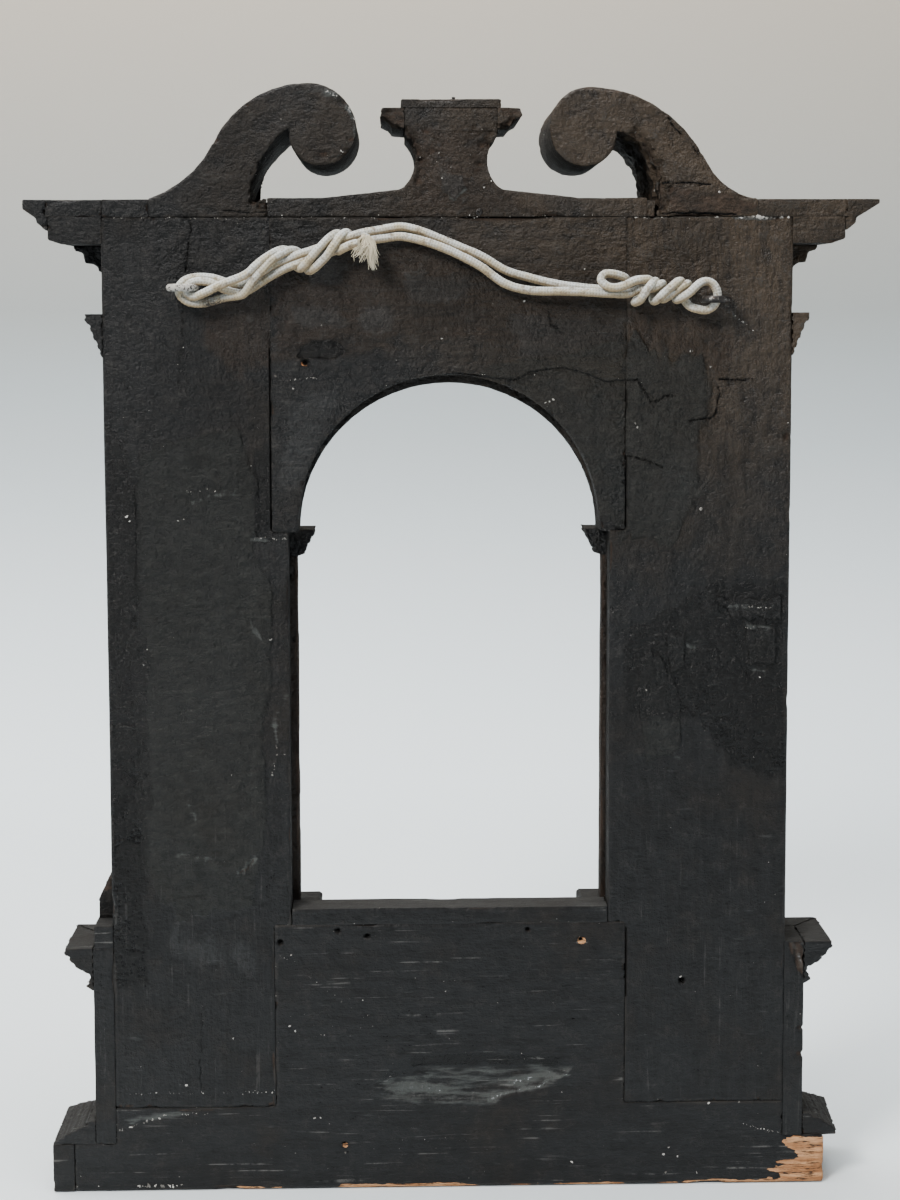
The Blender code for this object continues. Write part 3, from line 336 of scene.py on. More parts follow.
def add_strand(bm, centre, radius, sides, swell=None):
    """A closed tube round a path, without twist, its UVs in radians round it and metres along it."""
    centre = [Vector(point) for point in centre]
    side = (centre[1] - centre[0]).orthogonal().normalized()
    uv = bm.loops.layers.uv.verify()
    rings = []
    walked = 0.0
    for index, point in enumerate(centre):
        ahead = centre[min(index + 1, len(centre) - 1)]
        back = centre[max(index - 1, 0)]
        along = (ahead - back).normalized()
        side = (side - along * side.dot(along)).normalized()
        other = along.cross(side)
        walked += (point - centre[index - 1]).length if index else 0.0
        ring = []
        for corner in range(sides):
            angle = math.tau * corner / sides
            reach = radius * (swell(index / (len(centre) - 1), walked, angle) if swell else 1.0)
            ring.append(bm.verts.new(point + (side * math.cos(angle) + other * math.sin(angle)) * reach))
        rings.append((ring, walked))
    for (low, low_run), (high, high_run) in zip(rings, rings[1:]):
        for corner in range(sides):
            after = (corner + 1) % sides
            face = bm.faces.new((low[corner], low[after], high[after], high[corner]))
            turns = (corner, corner + 1, corner + 1, corner)
            for loop, turn, run in zip(face.loops, turns, (low_run, low_run, high_run, high_run)):
                loop[uv].uv = (math.tau * turn / sides, run)
    bm.faces.new(rings[0][0][::-1])
    bm.faces.new(rings[-1][0])


def braid(share, walked, angle):
    """The low plaits of a braided line and its soft unevenness."""
    plait = math.sin(PLAITS * angle + walked * PLAIT_RATE) * math.sin(PLAITS * angle - walked * PLAIT_RATE)
    uneven = noise.noise((walked * 160.0, math.cos(angle), math.sin(angle)))
    return 1.0 + 0.022 * plait + 0.05 * uneven


path = smooth_path(ROUTE, 0.0007)
for _ in range(3):
    path[1:-1] = 0.25 * path[:-2] + 0.5 * path[1:-1] + 0.25 * path[2:]
path = np.column_stack((path[:, 0], BACK_Y + path[:, 1], path[:, 2]))
bm = bmesh.new()
add_strand(bm, path, CORD / 2.0, 16, braid)
rope_material = plain_material("soiled_cotton_painted_light_and_shade", (0.62, 0.57, 0.48), 0.8)
rope = new_object("hanging_rope", smooth_mesh("hanging_rope", bm), rope_material)
rope_length = float(np.linalg.norm(np.diff(path, axis=0), axis=1).sum())

# The first end is unravelled: a brush of loose yarn that hangs over the strands, with stray fibres beside it
chance = np.random.default_rng(7)
bm = bmesh.new()
for index in range(150):
    stray = index % 5 == 0
    spread = chance.normal(0.0, 1.0, 3)
    turn = chance.uniform(0.0, math.tau)
    near = 0.0017 * math.sqrt(chance.uniform(0.0, 1.0))
    root = np.array((0.0448 + near * math.cos(turn), BACK_Y + 0.0112 + near * math.sin(turn), 0.5396))
    fall = chance.uniform(0.010, 0.019)
    drift = -0.0035 + 0.0011 * spread[0]
    if stray:
        drift = chance.uniform(0.001, 0.0085)
        fall = chance.uniform(0.006, 0.015)
    points = [root]
    for step in (0.25, 0.5, 0.75, 1.0):
        curl = np.array((0.0009 * math.sin(turn + 5.0 * step), 0.0006 * math.cos(turn + 4.0 * step), 0.0))
        out = np.array((drift * step, (0.0022 + 0.0010 * spread[1]) * math.sin(2.2 * step), -fall * step))
        points.append(root + out + curl * (1.0 + stray))
    add_strand(bm, smooth_path(points, 0.0012), 0.00030, 4, lambda share, walked, angle: 1.0 - 0.5 * share)
yarn_material = plain_material("loose_cotton", (0.66, 0.60, 0.46), 0.85)
fray = new_object("frayed_end", smooth_mesh("frayed_end", bm), yarn_material)
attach(rope, "root")
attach(fray, "root")
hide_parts("rope_twist_left", "rope_loop_left", "rope_strand_upper", "rope_strand_lower",
            "rope_twist_right", "rope_loop_right")
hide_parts("rope_knot")


# The two stiles: thick upright boards, planed by hand, stained black and worn. Skins of glued cloth show
# under the black, a shake runs down from the left one's top edge, and crumbs of plaster cling to them.
# Here and below, marks are given in millimetres across and up the back.
def how_far(across, up, corners, closed=False):
    """How far places are from a line through some corners, and less than 0 inside one that is closed."""
    nearest = np.full(across.shape, 1e3)
    inside = np.zeros(across.shape, dtype=bool)
    for (x0, z0), (x1, z1) in zip(corners, corners[1:] + corners[:1] * closed):
        run_x = x1 - x0
        run_z = z1 - z0
        share = ((across - x0) * run_x + (up - z0) * run_z) / max(run_x ** 2 + run_z ** 2, 1e-9)
        share = np.clip(share, 0.0, 1.0)
        nearest = np.minimum(nearest, np.hypot(across - x0 - share * run_x, up - z0 - share * run_z))
        inside ^= ((z0 > up) != (z1 > up)) & (across < x0 + run_x * (up - z0) / (run_z or 1e-9))
    return np.where(inside & closed, -nearest, nearest)


class WornWood:
    """A finely meshed copy of a wooden node, worn by moving its points, with marks kept as attributes."""

    def __init__(self, node, grid=0.0010, grain=2):
        self.node = node
        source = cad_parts[node].data.copy()
        bm = bmesh.new()
        bm.from_mesh(source)
        bmesh.ops.remove_doubles(bm, verts=bm.verts[:], dist=1e-6)
        bm.to_mesh(source)
        bm.free()
        self.piece = new_object("worn_" + node, source)
        self.grid = grid * 1.0
        even = self.piece.modifiers.new("even", "REMESH")
        even.mode = "VOXEL"
        even.voxel_size = self.grid
        mesh = self.applied()
        self.points = self.read(mesh.vertices, "co")
        self.normals = self.read(mesh.vertex_normals, "vector")
        self.across, self.behind, self.up = self.points.T * 1000.0
        self.back = np.clip(self.normals[:, 1] * 3.0 - 1.0, 0.0, 1.0)
        edges = np.empty(len(mesh.edges) * 2, dtype=np.int64)
        mesh.edges.foreach_get("vertices", edges)
        self.edges = edges.reshape(-1, 2)
        bulge = ((self.points - self.around(self.points)) * self.normals).sum(axis=1)
        arris = np.clip(bulge / self.grid * 7.0, 0.0, 1.0)
        for _ in range(max(1, round(0.0010 / self.grid))):
            arris = np.maximum(arris, np.clip(self.around(arris) * 1.1, 0.0, 1.0))
        self.marks = {"arris": arris}
        self.cuts = []
        self.crumbs = []
        self.stretch = np.ones(3)
        self.stretch[grain] = 5.0
        self.seed = sum(node.encode()) % 97
        self.chance = np.random.default_rng(self.seed)

    @functools.cached_property
    def ragged(self):
        """The unevenness of every torn outline on the piece."""
        return self.cloud(0.012, 1.0, 4) + 0.5 * self.cloud(0.004, 2.0, 2)

    def read(self, items, name):
        values = np.empty(len(items) * 3)
        items.foreach_get(name, values)
        return values.reshape(-1, 3)

    def applied(self):
        depsgraph = bpy.context.evaluated_depsgraph_get()
        mesh = bpy.data.meshes.new_from_object(self.piece.evaluated_get(depsgraph))
        self.piece.modifiers.clear()
        self.piece.data = mesh
        return mesh

    def around(self, values):
        """The mean of each point's neighbours."""
        if values.ndim > 1:
            return np.stack([self.around(column) for column in values.T], axis=1)
        count = len(self.points)
        first, second = self.edges.T
        total = np.bincount(first, values[second], count) + np.bincount(second, values[first], count)
        return total / np.bincount(self.edges.ravel(), minlength=count).clip(1)

    def cloud(self, size, offset=0.0, octaves=4, drawn=True):
        """Cloudy noise at each point, drawn out along the grain, mostly between -1 and 1."""
        spread = self.points / (size * (self.stretch if drawn else 1.0)) + self.seed * 3.7 + offset
        return np.array([noise.fractal(place, 1.0, 2.0, octaves) for place in spread.tolist()])

    def press(self, depth):
        """Move the surface in by a depth in metres at each point."""
        self.points -= self.normals * np.asarray(depth)[:, None]

    def mark(self, name, amount):
        """Keep the higher of this amount and what is already marked there."""
        self.marks[name] = np.clip(np.maximum(self.marks.get(name, 0.0), amount), 0.0, 1.0)

    def wear(self, sway=0.00022, tooling=0.00012, chips=0.0013, size=0.007, rarity=0.3):
        """Planing waves, a coarse skin, joints that close and open, and chips broken out of the arrises."""
        closing = 0.00010
        sharp = 0.00022
        arris = self.marks["arris"]
        broken = np.clip((self.cloud(size, 5.0, 3) - rarity) * 4.0, 0.0, 1.0)
        self.press(sway * self.cloud(0.03, 0.0, 2) + tooling * self.cloud(0.0035, 11.0, 2) - closing)
        self.press(arris * (chips * broken - sharp))
        self.mark("broken", arris * broken * 1.3)
        self.mark("cloud", 0.5 + 0.5 * self.cloud(0.055, 41.0, 3, False))

    def patch(self, name, corners, raised=0.0, soft=2.0, ragged=4.0):
        """Mark a ragged patch of the back inside some corners, and raise or sink it by some millimetres."""
        far = how_far(self.across, self.up, list(corners), True) + ragged * self.ragged
        inside = np.clip(0.5 - far / (2.0 * soft), 0.0, 1.0) * self.back
        self.mark(name, inside)
        if raised:
            self.press(-0.001 * raised * np.clip(inside * 2.0 - 0.5, 0.0, 1.0))

    def streak(self, name, corners, width, amount=1.0, ragged=0.0):
        """Mark the back along a line, fading out over some millimetres."""
        far = how_far(self.across, self.up, list(corners)) + ragged * self.ragged
        self.mark(name, amount * np.clip(1.0 - far / width, 0.0, 1.0) * self.back)

    def tear(self, corners, reach, depth):
        """Break jagged bites out of whatever lies along a line."""
        far = how_far(self.across, self.up, list(corners)) / reach + 0.9 * self.cloud(0.0035, 9.0, 3, False)
        bite = np.clip(1.3 - far, 0.0, 1.0) * (self.behind > BACK_Y * 1000.0 - 12.0)
        self.press(0.001 * depth * bite)
        self.mark("broken", bite * 0.7)

    def terrace(self, steps, depth):
        """Cut the small steps of a worn profile into the sides that look outwards."""
        share = (self.up - self.up.min()) / np.ptp(self.up) * steps + 0.25 * self.cloud(0.006, 17.0, 2)
        outward = np.clip(np.abs(self.normals[:, 0]) * 2.0 - 0.4, 0.0, 1.0)
        self.press(0.001 * depth * outward * np.clip((share % 1.0 - 0.45) * 8.0, 0.0, 1.0))

    def notch(self, centre, reach, depth):
        """Knock a bite out of whatever is near one place, given in millimetres."""
        far = np.linalg.norm((self.points * 1000.0 - centre) / reach, axis=1) + 0.3 * self.cloud(0.004, 9.0)
        bite = np.clip(1.5 - 1.5 * far, 0.0, 1.0)
        self.press(0.001 * depth * bite)
        self.mark("broken", bite)

    def cut(self, corners, width=0.45, depth=0.8, name="crack"):
        """Note a crack along a line, or a hole at one place, for settle() to carve in a finer mesh."""
        self.cuts.append((list(corners) * (1 + (len(corners) == 1)), width, depth, name))

    def strew(self, first, last, count, low, high):
        """Note crumbs along a line, between two sizes in millimetres."""
        for share in self.chance.uniform(0.0, 1.0, count):
            place = np.array(first) * (1.0 - share) + np.array(last) * share
            place = place + self.chance.normal(0.0, 0.35, 2)
            self.crumbs.append((*place, low + (high - low) * self.chance.uniform(0.0, 1.0) ** 3))

    def carve(self, mesh):
        """Give the back short edges beside the noted cracks and holes, and cut them in."""
        for _ in range(6):
            edges = np.empty(len(mesh.edges) * 2, dtype=np.int64)
            mesh.edges.foreach_get("vertices", edges)
            ends = self.read(mesh.vertices, "co")[edges].reshape(-1, 2, 3) * 1000.0
            middle = ends.mean(axis=1)
            length = np.linalg.norm(ends[:, 1] - ends[:, 0], axis=1)
            close = np.zeros(len(length), dtype=bool)
            for corners, width, depth, name in self.cuts:
                close |= how_far(middle[:, 0], middle[:, 2], corners) < width + 0.6 + length / 2.0
            close &= (length > 0.45) & (middle[:, 1] > BACK_Y * 1000.0 - 1.5)
            if not close.any():
                break
            bm = bmesh.new()
            bm.from_mesh(mesh)
            bm.edges.ensure_lookup_table()
            bmesh.ops.subdivide_edges(bm, edges=[bm.edges[i] for i in np.flatnonzero(close)], cuts=1)
            bm.to_mesh(mesh)
            bm.free()
        places = self.read(mesh.vertices, "co")
        across, behind, up = places.T * 1000.0
        shake = np.array([noise.fractal(place, 1.0, 2.0, 4) for place in (places * 180.0).tolist()])
        on_back = behind > BACK_Y * 1000.0 - 1.5
        for corners, width, depth, name in self.cuts:
            layer = mesh.attributes.get(name) or mesh.attributes.new(name, "FLOAT", "POINT")
            cut = np.empty(len(places), dtype=np.float32)
            layer.data.foreach_get("value", cut)
            hole = corners[0] == corners[-1]
            far = how_far(across + (1.3 - 1.3 * hole) * shake, up + (0.8 - 0.8 * hole) * shake, corners)
            into = np.clip(1.4 - far / width, 0.0, 1.0) * on_back
            places[:, 1] -= 0.001 * depth * into
            layer.data.foreach_set("value", np.maximum(cut, into).astype(np.float32))
        mesh.vertices.foreach_set("co", places.ravel())

    def settle(self, material, share=0.4, specks=0):
        """Put the worn points back, thin the mesh, carve it and let the piece stand for its node."""
        mesh = self.piece.data
        mesh.vertices.foreach_set("co", self.points.ravel())
        self.marks["board"] = np.full(len(self.points), self.seed * 0.37)
        for name, values in self.marks.items():
            layer = mesh.attributes.new(name, "FLOAT", "POINT")
            layer.data.foreach_set("value", values.astype(np.float32))
        thin = self.piece.modifiers.new("thin", "DECIMATE")
        thin.ratio = share
        mesh = self.applied()
        mesh.materials.clear()
        mesh.materials.append(material)
        mesh.materials.append(crumb_paint)
        if self.cuts:
            self.carve(mesh)
        where = self.read(mesh.vertices, "co")
        on_back = np.flatnonzero(where[:, 1] > BACK_Y - 0.004)
        places = []
        for x, z, size in self.crumbs:
            near = np.hypot(where[on_back, 0] - x * 0.001, where[on_back, 2] - z * 0.001).argmin()
            places.append((Vector((x * 0.001, where[on_back[near], 1], z * 0.001)), size))
        for index in self.chance.integers(0, len(where), specks):
            places.append((Vector(where[index]), 0.14 + 0.4 * self.chance.uniform(0.0, 1.0) ** 5))
        bm = bmesh.new()
        bm.from_mesh(mesh)
        for place, size in places:
            stretch = Matrix.Diagonal((*self.chance.uniform((0.4, 0.3, 0.3), (1.3, 0.6, 1.1)), 1.0))
            turn = Matrix.Rotation(self.chance.uniform(-1.2, 1.2), 4, "Y")
            made = bmesh.ops.create_icosphere(bm, subdivisions=1, radius=size * 0.001,
                                              matrix=Matrix.Translation(place) @ turn @ stretch)
            for vert in made["verts"]:
                vert.co += Vector(self.chance.normal(0.0, size * 0.00018, 3))
            for face in {face for vert in made["verts"] for face in vert.link_faces}:
                face.material_index = 1
        bm.to_mesh(mesh)
        bm.free()
        mesh.shade_smooth()
        mesh.set_sharp_from_angle(angle=math.radians(38.0))
        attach(self.piece, "root")
        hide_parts(self.node)


def fill_shader(material, colour, roughness, height, strength=0.9):
    """Join a colour, a roughness and a height in millimetres to a material's shader."""
    tree = material.node_tree
    shader = tree.nodes["Principled BSDF"]
    bump = height.node("ShaderNodeBump", {"Height": height, "Distance": 0.001, "Strength": strength})
    tree.links.new(colour.socket, shader.inputs["Base Color"])
    tree.links.new(roughness.socket, shader.inputs["Roughness"])
    tree.links.new(bump.socket, shader.inputs["Normal"])


def ebonised(name, along, contrast=1.0, scored=1.0):
    """Black stain on wood: its grain, lumps and wrinkles, the wear and dirt that the marks place, and painted
    light and shade on crests, hollows, sides and along some marks.
    """
    material = plain_material(name, (0.01, 0.01, 0.01), 0.45)
    material.node_tree.nodes["Principled BSDF"].inputs["Specular IOR Level"].default_value = 0.23
    place = place_on(material)
    across, _, up = place.parts()
    facing = place.node("ShaderNodeTexCoord", output=1).parts()
    marks = {mark: place.attribute(mark) for mark in (
        "arris", "board", "cloud", "patch", "stain", "bare", "broken", "gloss", "crack", "haze", "pale")}
    moved = place.node("ShaderNodeVectorMath", {0: place, 1: marks["board"]}, {"operation": "ADD"})
    grained = moved.drawn(along)
    fibres = grained.noise(0.0013, 3.0, 0.75)
    bands = grained.noise(0.0065, 5.0, 0.68)
    bare_grain = grained.noise(0.0030, 4.0, 0.7)
    lumps = moved.noise(0.0095, 4.0, 0.72)
    grit = moved.noise(0.0019, 2.0, 0.6)
    skin = moved.drawn((1.9, 1.0, 1.0)).noise(0.0032, 4.0, 0.7)
    lines = moved.drawn(tuple(share ** 1.7 for share in along)).noise(0.0017, 2.0, 0.5)
    level = place.drawn((6.0, 1.0, 1.0)).noise(0.0026, 4.0, 0.65)

    # Where the surface is coarse, and how far each mark reaches with its ragged edge
    coarse = up.ramp(0.12, 0.42) * 0.7 + 0.3
    shallow = (up.ramp(0.22, 0.50) * 0.65 + 0.35) * contrast
    edge = (lumps - 0.5) * 2.0 + (grit - 0.5) * 0.8
    crease = (1.0 - (skin - 0.5).plain().ramp(0.0, 0.03)) * lumps.ramp(0.47, 0.62)
    # Crests and creases of the relief, painted lighter below: partly rubbed wear, partly a painted highlight
    crest_wear_and_highlight = lumps.ramp(0.54, 0.68) * grit.ramp(0.42, 0.60) + crease * 0.8
    scratches = lines.ramp(0.64, 0.71) * lumps.ramp(0.40, 0.60) * (1.0 - up.ramp(0.15, 0.30) * 0.8)
    clouds = marks["cloud"]
    patch = (marks["patch"] + edge * 0.45).ramp(0.30, 0.70)
    gloss = (marks["gloss"] * 2.2 + (lumps - 0.5) * 1.6 + (skin - 0.5) * 1.4).ramp(0.90, 1.35)
    pale = (marks["pale"] + (level - 0.5) * 2.4).ramp(0.30, 1.0)
    broken = (marks["broken"] + (bare_grain - 0.5) * 1.4).ramp(0.45, 0.90)
    bare = (marks["bare"] + edge * 0.5).ramp(0.45, 0.55)
    sides = 1.0 - facing[1].plain().ramp(0.25, 0.80)
    shaded = sides * (1.0 - facing[2].ramp(0.1, 0.6)) * (1.0 - bare)

    # Cool black that turns browner upwards and to the right, under layers from grain to cracks
    warm = up.ramp(0.30, 0.60) * 0.55 - across * up.ramp(0.28, 0.52) * 3.0
    warm = warm + (clouds - 0.5) * 0.8 + (lumps - 0.5) * 0.7
    colour = warm.ramp(0.0, 1.1).mixed((0.0088, 0.0093, 0.0099), (0.060, 0.0425, 0.0268))
    wrinkled = skin.ramp(0.38, 0.70).mixed((0.006, 0.0068, 0.006), (0.0225, 0.024, 0.0208))
    split = bare_grain.ramp(0.35, 0.65).mixed((0.010, 0.007, 0.005), (0.052, 0.033, 0.023))
    raw = bare_grain.ramp(0.36, 0.62).mixed((0.62, 0.345, 0.175), (0.34, 0.150, 0.062))
    raw = (1.0 - fibres.ramp(0.37, 0.45)).mixed(raw, (0.045, 0.022, 0.012))
    for mask, layer in (
            ((marks["stain"] + edge * 0.7).ramp(0.2, 0.9) * 0.6, (0.025, 0.015, 0.0085)),
            # Haze marks: a grey bloom, and on the left stile a painted highlight along the top of a cloth
            # patch
            ((marks["haze"] + edge * 0.7).ramp(0.3, 0.9) * 0.45, (0.036, 0.038, 0.039)),
            (bands.ramp(0.46, 0.62) * 0.40 * contrast, (0.003, 0.0028, 0.0027)),
            ((1.0 - fibres.ramp(0.36, 0.50)) * 0.40 * contrast, (0.002, 0.0019, 0.0018)),
            (clouds.ramp(0.45, 0.80) * 0.45, (0.0038, 0.0036, 0.0034)),
            # Low spots of the relief painted darker: partly dirt, partly painted shade
            ((1.0 - lumps.ramp(0.32, 0.47)) * 0.45, (0.002, 0.0019, 0.0018)),
            # Painted highlight, partly rubbed wear: the crests and creases lighter
            (crest_wear_and_highlight * coarse * 0.40, (0.060, 0.058, 0.055)),
            (fibres.ramp(0.53, 0.66) * lumps.ramp(0.40, 0.60) * 0.35 * shallow, (0.046, 0.043, 0.039)),
            (patch * 0.55, wrinkled),
            # Gloss marks: glossier, darker black, and in the base board's gouge a painted shade
            (gloss * 0.9, (0.0016, 0.0016, 0.0015)),
            # Pale marks: plaster, flecks and worn grey, and in places painted highlights and painted light;
            # above 1 they turn near white
            (pale * 0.85, (0.062, 0.067, 0.064)),
            ((marks["pale"] + (grit - 0.5) * 0.6).ramp(1.0, 1.15), (0.42, 0.45, 0.47)),
            (scratches * 0.50 * scored, (0.16, 0.158, 0.15)),
            (facing[2].ramp(0.5, 0.9) * 0.25, (0.060, 0.058, 0.054)),
            ((marks["arris"] * bands.ramp(0.42, 0.62)).ramp(0.3, 1.0) * 0.40, (0.050, 0.044, 0.038)),
            (broken * 0.65, split),
            (bare, raw),
            # Painted shade: sides that face neither the back nor upwards are darkened
            (shaded * 0.75 * (1.0 - broken), (0.0034, 0.0027, 0.0021)),
            (marks["crack"].ramp(0.15, 0.6), (0.0012, 0.0011, 0.001))):
        colour = mask.mixed(colour, layer)
    roughness = 0.45 + (clouds - 0.5) * 0.26 + (lumps - 0.5) * 0.55 + (fibres - 0.5) * 0.30 - gloss * 0.16
    roughness = roughness + (bare + broken) * 0.25 + sides * 0.40 - pale * 0.10
    relief = lumps * 4.2 + grit * 1.2 + skin * (patch * 1.4 + 2.2) + crease * 0.45
    height = bands * 0.4 + fibres * 0.35 + relief * coarse - scratches * 0.10
    fill_shader(material, colour, roughness, height - bare * (1.0 - fibres.ramp(0.37, 0.50)) * 0.5)
    return material


crumb_paint = plain_material("old_plaster_crumbs", (0.30, 0.28, 0.25), 0.8)
rubble = place_on(crumb_paint).noise(0.0006, 2.0)
tint = place_on(crumb_paint).noise(0.009, 2.0).ramp(0.38, 0.66)
tint = tint.mixed((0.100, 0.093, 0.083), (0.60, 0.585, 0.55))
fill_shader(crumb_paint, tint, 0.7 + rubble * 0.2, rubble * 0.2)
upright_black = ebonised("ebonised_upright", (1.0, 1.0, 7.0), 1.0, 0.25)
level_black = ebonised("ebonised_level", (8.0, 1.0, 1.0))
carved_black = ebonised("ebonised_carved", (2.6, 1.0, 1.4), 0.6, 0.4)

wood = WornWood("stile_left")
wood.wear()
wood.patch("patch", ((172, 388), (171, 421), (136, 432), (117, 432), (108, 406), (109, 364), (100, 342),
                     (103, 280), (106, 215), (112, 165), (150, 158), (174, 190), (178, 300)), 0.45)
wood.patch("stain", ((136, 508), (100, 512), (97, 470), (118, 462), (134, 478)), soft=5)
wood.patch("gloss", ((197, 440), (176, 430), (167, 300), (172, 120), (197, 120)), soft=6)
wood.patch("gloss", ((108, 420), (97, 430), (97, 370), (106, 372)), soft=3)
wood.patch("haze", ((160, 150), (115, 142), (112, 128), (150, 132)), soft=8)
wood.press(0.0006 * (wood.normals[:, 0] < -0.5) * (wood.up > 378) * (wood.up < 478))
for height in (429, 425, 496):
    wood.notch((197, 26, height), (2, 6, 3), 1.6)
wood.cut(((141, 551), (144, 520)), 0.30, 1)
wood.cut(((144, 520), (145.9, 496.6), (147.7, 472.8), (149.7, 455.9)), 0.20, 0.5)
wood.cut(((141, 106), (141.6, 75), (141.4, 56)), 0.20, 0.5)
wood.cut(((118.4, 336.7), (109.3, 323), (104.4, 316.5)), 0.5, 0.35, "haze")
wood.cut(((160, 196), (140, 193), (126, 190)), 0.6, 0.4, "haze")
wood.cut(((152, 170), (143, 171.5), (133, 167)), 0.4, 0.5, "crease")
wood.cut(((118.6, 184.5), (114, 186), (110.5, 191)), 0.8, 0.7, "broken")
for light in (((119.5, 184), (114, 187), (109.5, 192)), ((143, 392.5), (133, 396.5), (124, 398.5)),
              ((91, 282), (98.5, 272.5), (96.5, 258))):
    wood.streak("pale", light, 1.8, 1.25, 0.6)
for light in (((160, 196), (140, 193), (126, 190)), ((118.4, 336.7), (109.3, 323), (104.4, 316.5)),
              ((110, 372.4), (90, 371.6)), ((147, 224), (142, 214)), ((129, 402), (119, 399))):
    wood.streak("pale", light, 1.5, 0.95, 0.8)
wood.mark("gloss", 0.38 * np.clip((185 - wood.up) / 50, 0, 1))
wood.strew((97, 256), (99.5, 238), 9, 0.3, 0.9)
wood.strew((98.4, 148), (98.4, 58), 26, 0.2, 0.5)
wood.strew((182, 56.6), (100, 56.6), 34, 0.2, 0.55)
wood.crumbs += [(178.4, 385.5, 1.3), (177, 383, 0.7), (168.3, 311.2, 0.6), (170.5, 302.6, 0.9),
                (150.3, 383.2, 0.7), (147, 384, 0.5), (129.6, 399.4, 0.8), (99.5, 316.5, 1.1), (150, 61, 0.9),
                (123, 88, 0.8)]
wood.strew((195, 549.6), (99, 549.6), 46, 0.25, 0.7)
wood.strew((146, 399), (131, 400.5), 9, 0.25, 0.5)
wood.strew((104.5, 373.7), (90, 372.2), 9, 0.3, 0.6)
# A pale line along the top arris: edge wear, and partly a painted highlight
wood.streak("pale", ((188, 550.2), (98, 550.2)), 1.5, 0.8, 0.6)
# Painted highlight: a grey band along the raised top edge of the cloth patch
wood.streak("haze", ((165, 412), (140, 424), (122, 420), (124, 404)), 9, 0.9, 5)
wood.settle(upright_black, 0.35, 90)

wood = WornWood("stile_right")
wood.wear()
skinned = ((-90, 484), (-140, 474), (-150, 456), (-147, 438), (-136, 424), (-142, 396), (-128, 374),
           (-90, 368))
wood.patch("patch", skinned, 0.35, 3.5, 8)
wood.patch("haze", skinned, soft=7, ragged=9)
wood.patch("patch", ((-150, 338), (-185, 338), (-186, 326), (-160, 326)), 0.8, 0.6, 3)
wood.patch("patch", ((-165, 322), (-182, 322), (-184, 300), (-168, 300)), 0.6, 0.6, 3)
# Painted highlights: near-white lines along the raised edges of the cloth skins
for highlight_line in (((-156, 334.6), (-168, 332.8), (-181, 333.6)), ((-165.6, 322.4), (-179, 321.4)),
               ((-170.5, 297.5), (-177.4, 295))):
    wood.streak("pale", highlight_line, 1.7, 1.35, 0.7)
wood.patch("stain", ((-98, 500), (-130, 506), (-160, 480), (-152, 462), (-118, 474), (-98, 478)), soft=4)
wood.patch("gloss", ((-99, 322), (-125, 332), (-150, 350), (-190, 345), (-190, 235), (-160, 240), (-140, 268),
                     (-102, 272)), soft=7, ragged=6)
wood.patch("patch", ((-122, 319), (-131, 317), (-132, 299), (-124, 296)), 0.5, 0.9, 2)
wood.streak("pale", ((-134, 311), (-139, 308.5)), 1.3, 1, 0.8)
wood.streak("pale", ((-125, 250.5), (-129.5, 247)), 1.4, 1.2, 0.8)
wood.cut(((-118.5, 217.6),), 0.9, 0.2, "broken")
wood.patch("patch", ((-112, 315), (-122, 300), (-132, 280), (-130, 252), (-112, 246), (-106, 280)), 0.6, 0.9)
for low_end, high_end in ((378, 418), (110, 150)):
    wood.press(0.0007 * (wood.normals[:, 0] > 0.5) * (wood.up > low_end) * (wood.up < high_end))
wood.notch((-188, 26, 428.5), (2.5, 6, 3), 1.8)
for crack in (((-150, 460.5), (-158.4, 459.9), (-168.8, 460.6)),
              ((-149.5, 456.2), (-149.6, 445), (-145.2, 439.1), (-133.2, 437.6)),
              ((-99, 460.2), (-104.8, 460.3), (-112.3, 447.4), (-124.2, 451.8)),
              ((-99, 418.4), (-111, 415.4), (-120, 411))):
    wood.cut(crack, 0.4, 0.8)
wood.cut(((-131.8, 119),), 1.7, 3)
wood.cut(((-133.7, 476.2), (-133, 473.5)), 0.4, 0.3, "haze")
wood.crumbs += [(-144.9, 467.3, 0.9), (-103.4, 436.3, 1.1), (-104.5, 434, 0.7), (-140.4, 388.3, 1),
                (-110.3, 286.4, 1), (-174.4, 293.1, 0.8), (-133.7, 476.2, 0.6), (-163, 492, 0.8),
                (-131, 121.2, 0.8)]
wood.strew((-158.1, 496), (-168.6, 487.2), 5, 0.25, 0.7)
wood.streak("pale", ((-154, 500), (-160, 493.5), (-169, 487)), 1.4, 1.05, 0.7)
wood.streak("pale", ((-158, 549.4), (-184, 549.2)), 2, 1.7, 0.8)
wood.strew((-161, 333.4), (-182, 332.6), 16, 0.25, 0.8)
wood.strew((-166, 321.5), (-178, 320.6), 8, 0.25, 0.6)
wood.strew((-100, 549.6), (-172, 549.6), 30, 0.25, 0.6)
wood.strew((-162, 549.9), (-188, 549.9), 90, 0.9, 1.9)
# A pale line along the top arris: edge wear, and partly a painted highlight
wood.streak("pale", ((-98, 550.2), (-188, 550.2)), 1.5, 0.8, 0.6)
wood.settle(upright_black, 0.35, 90)


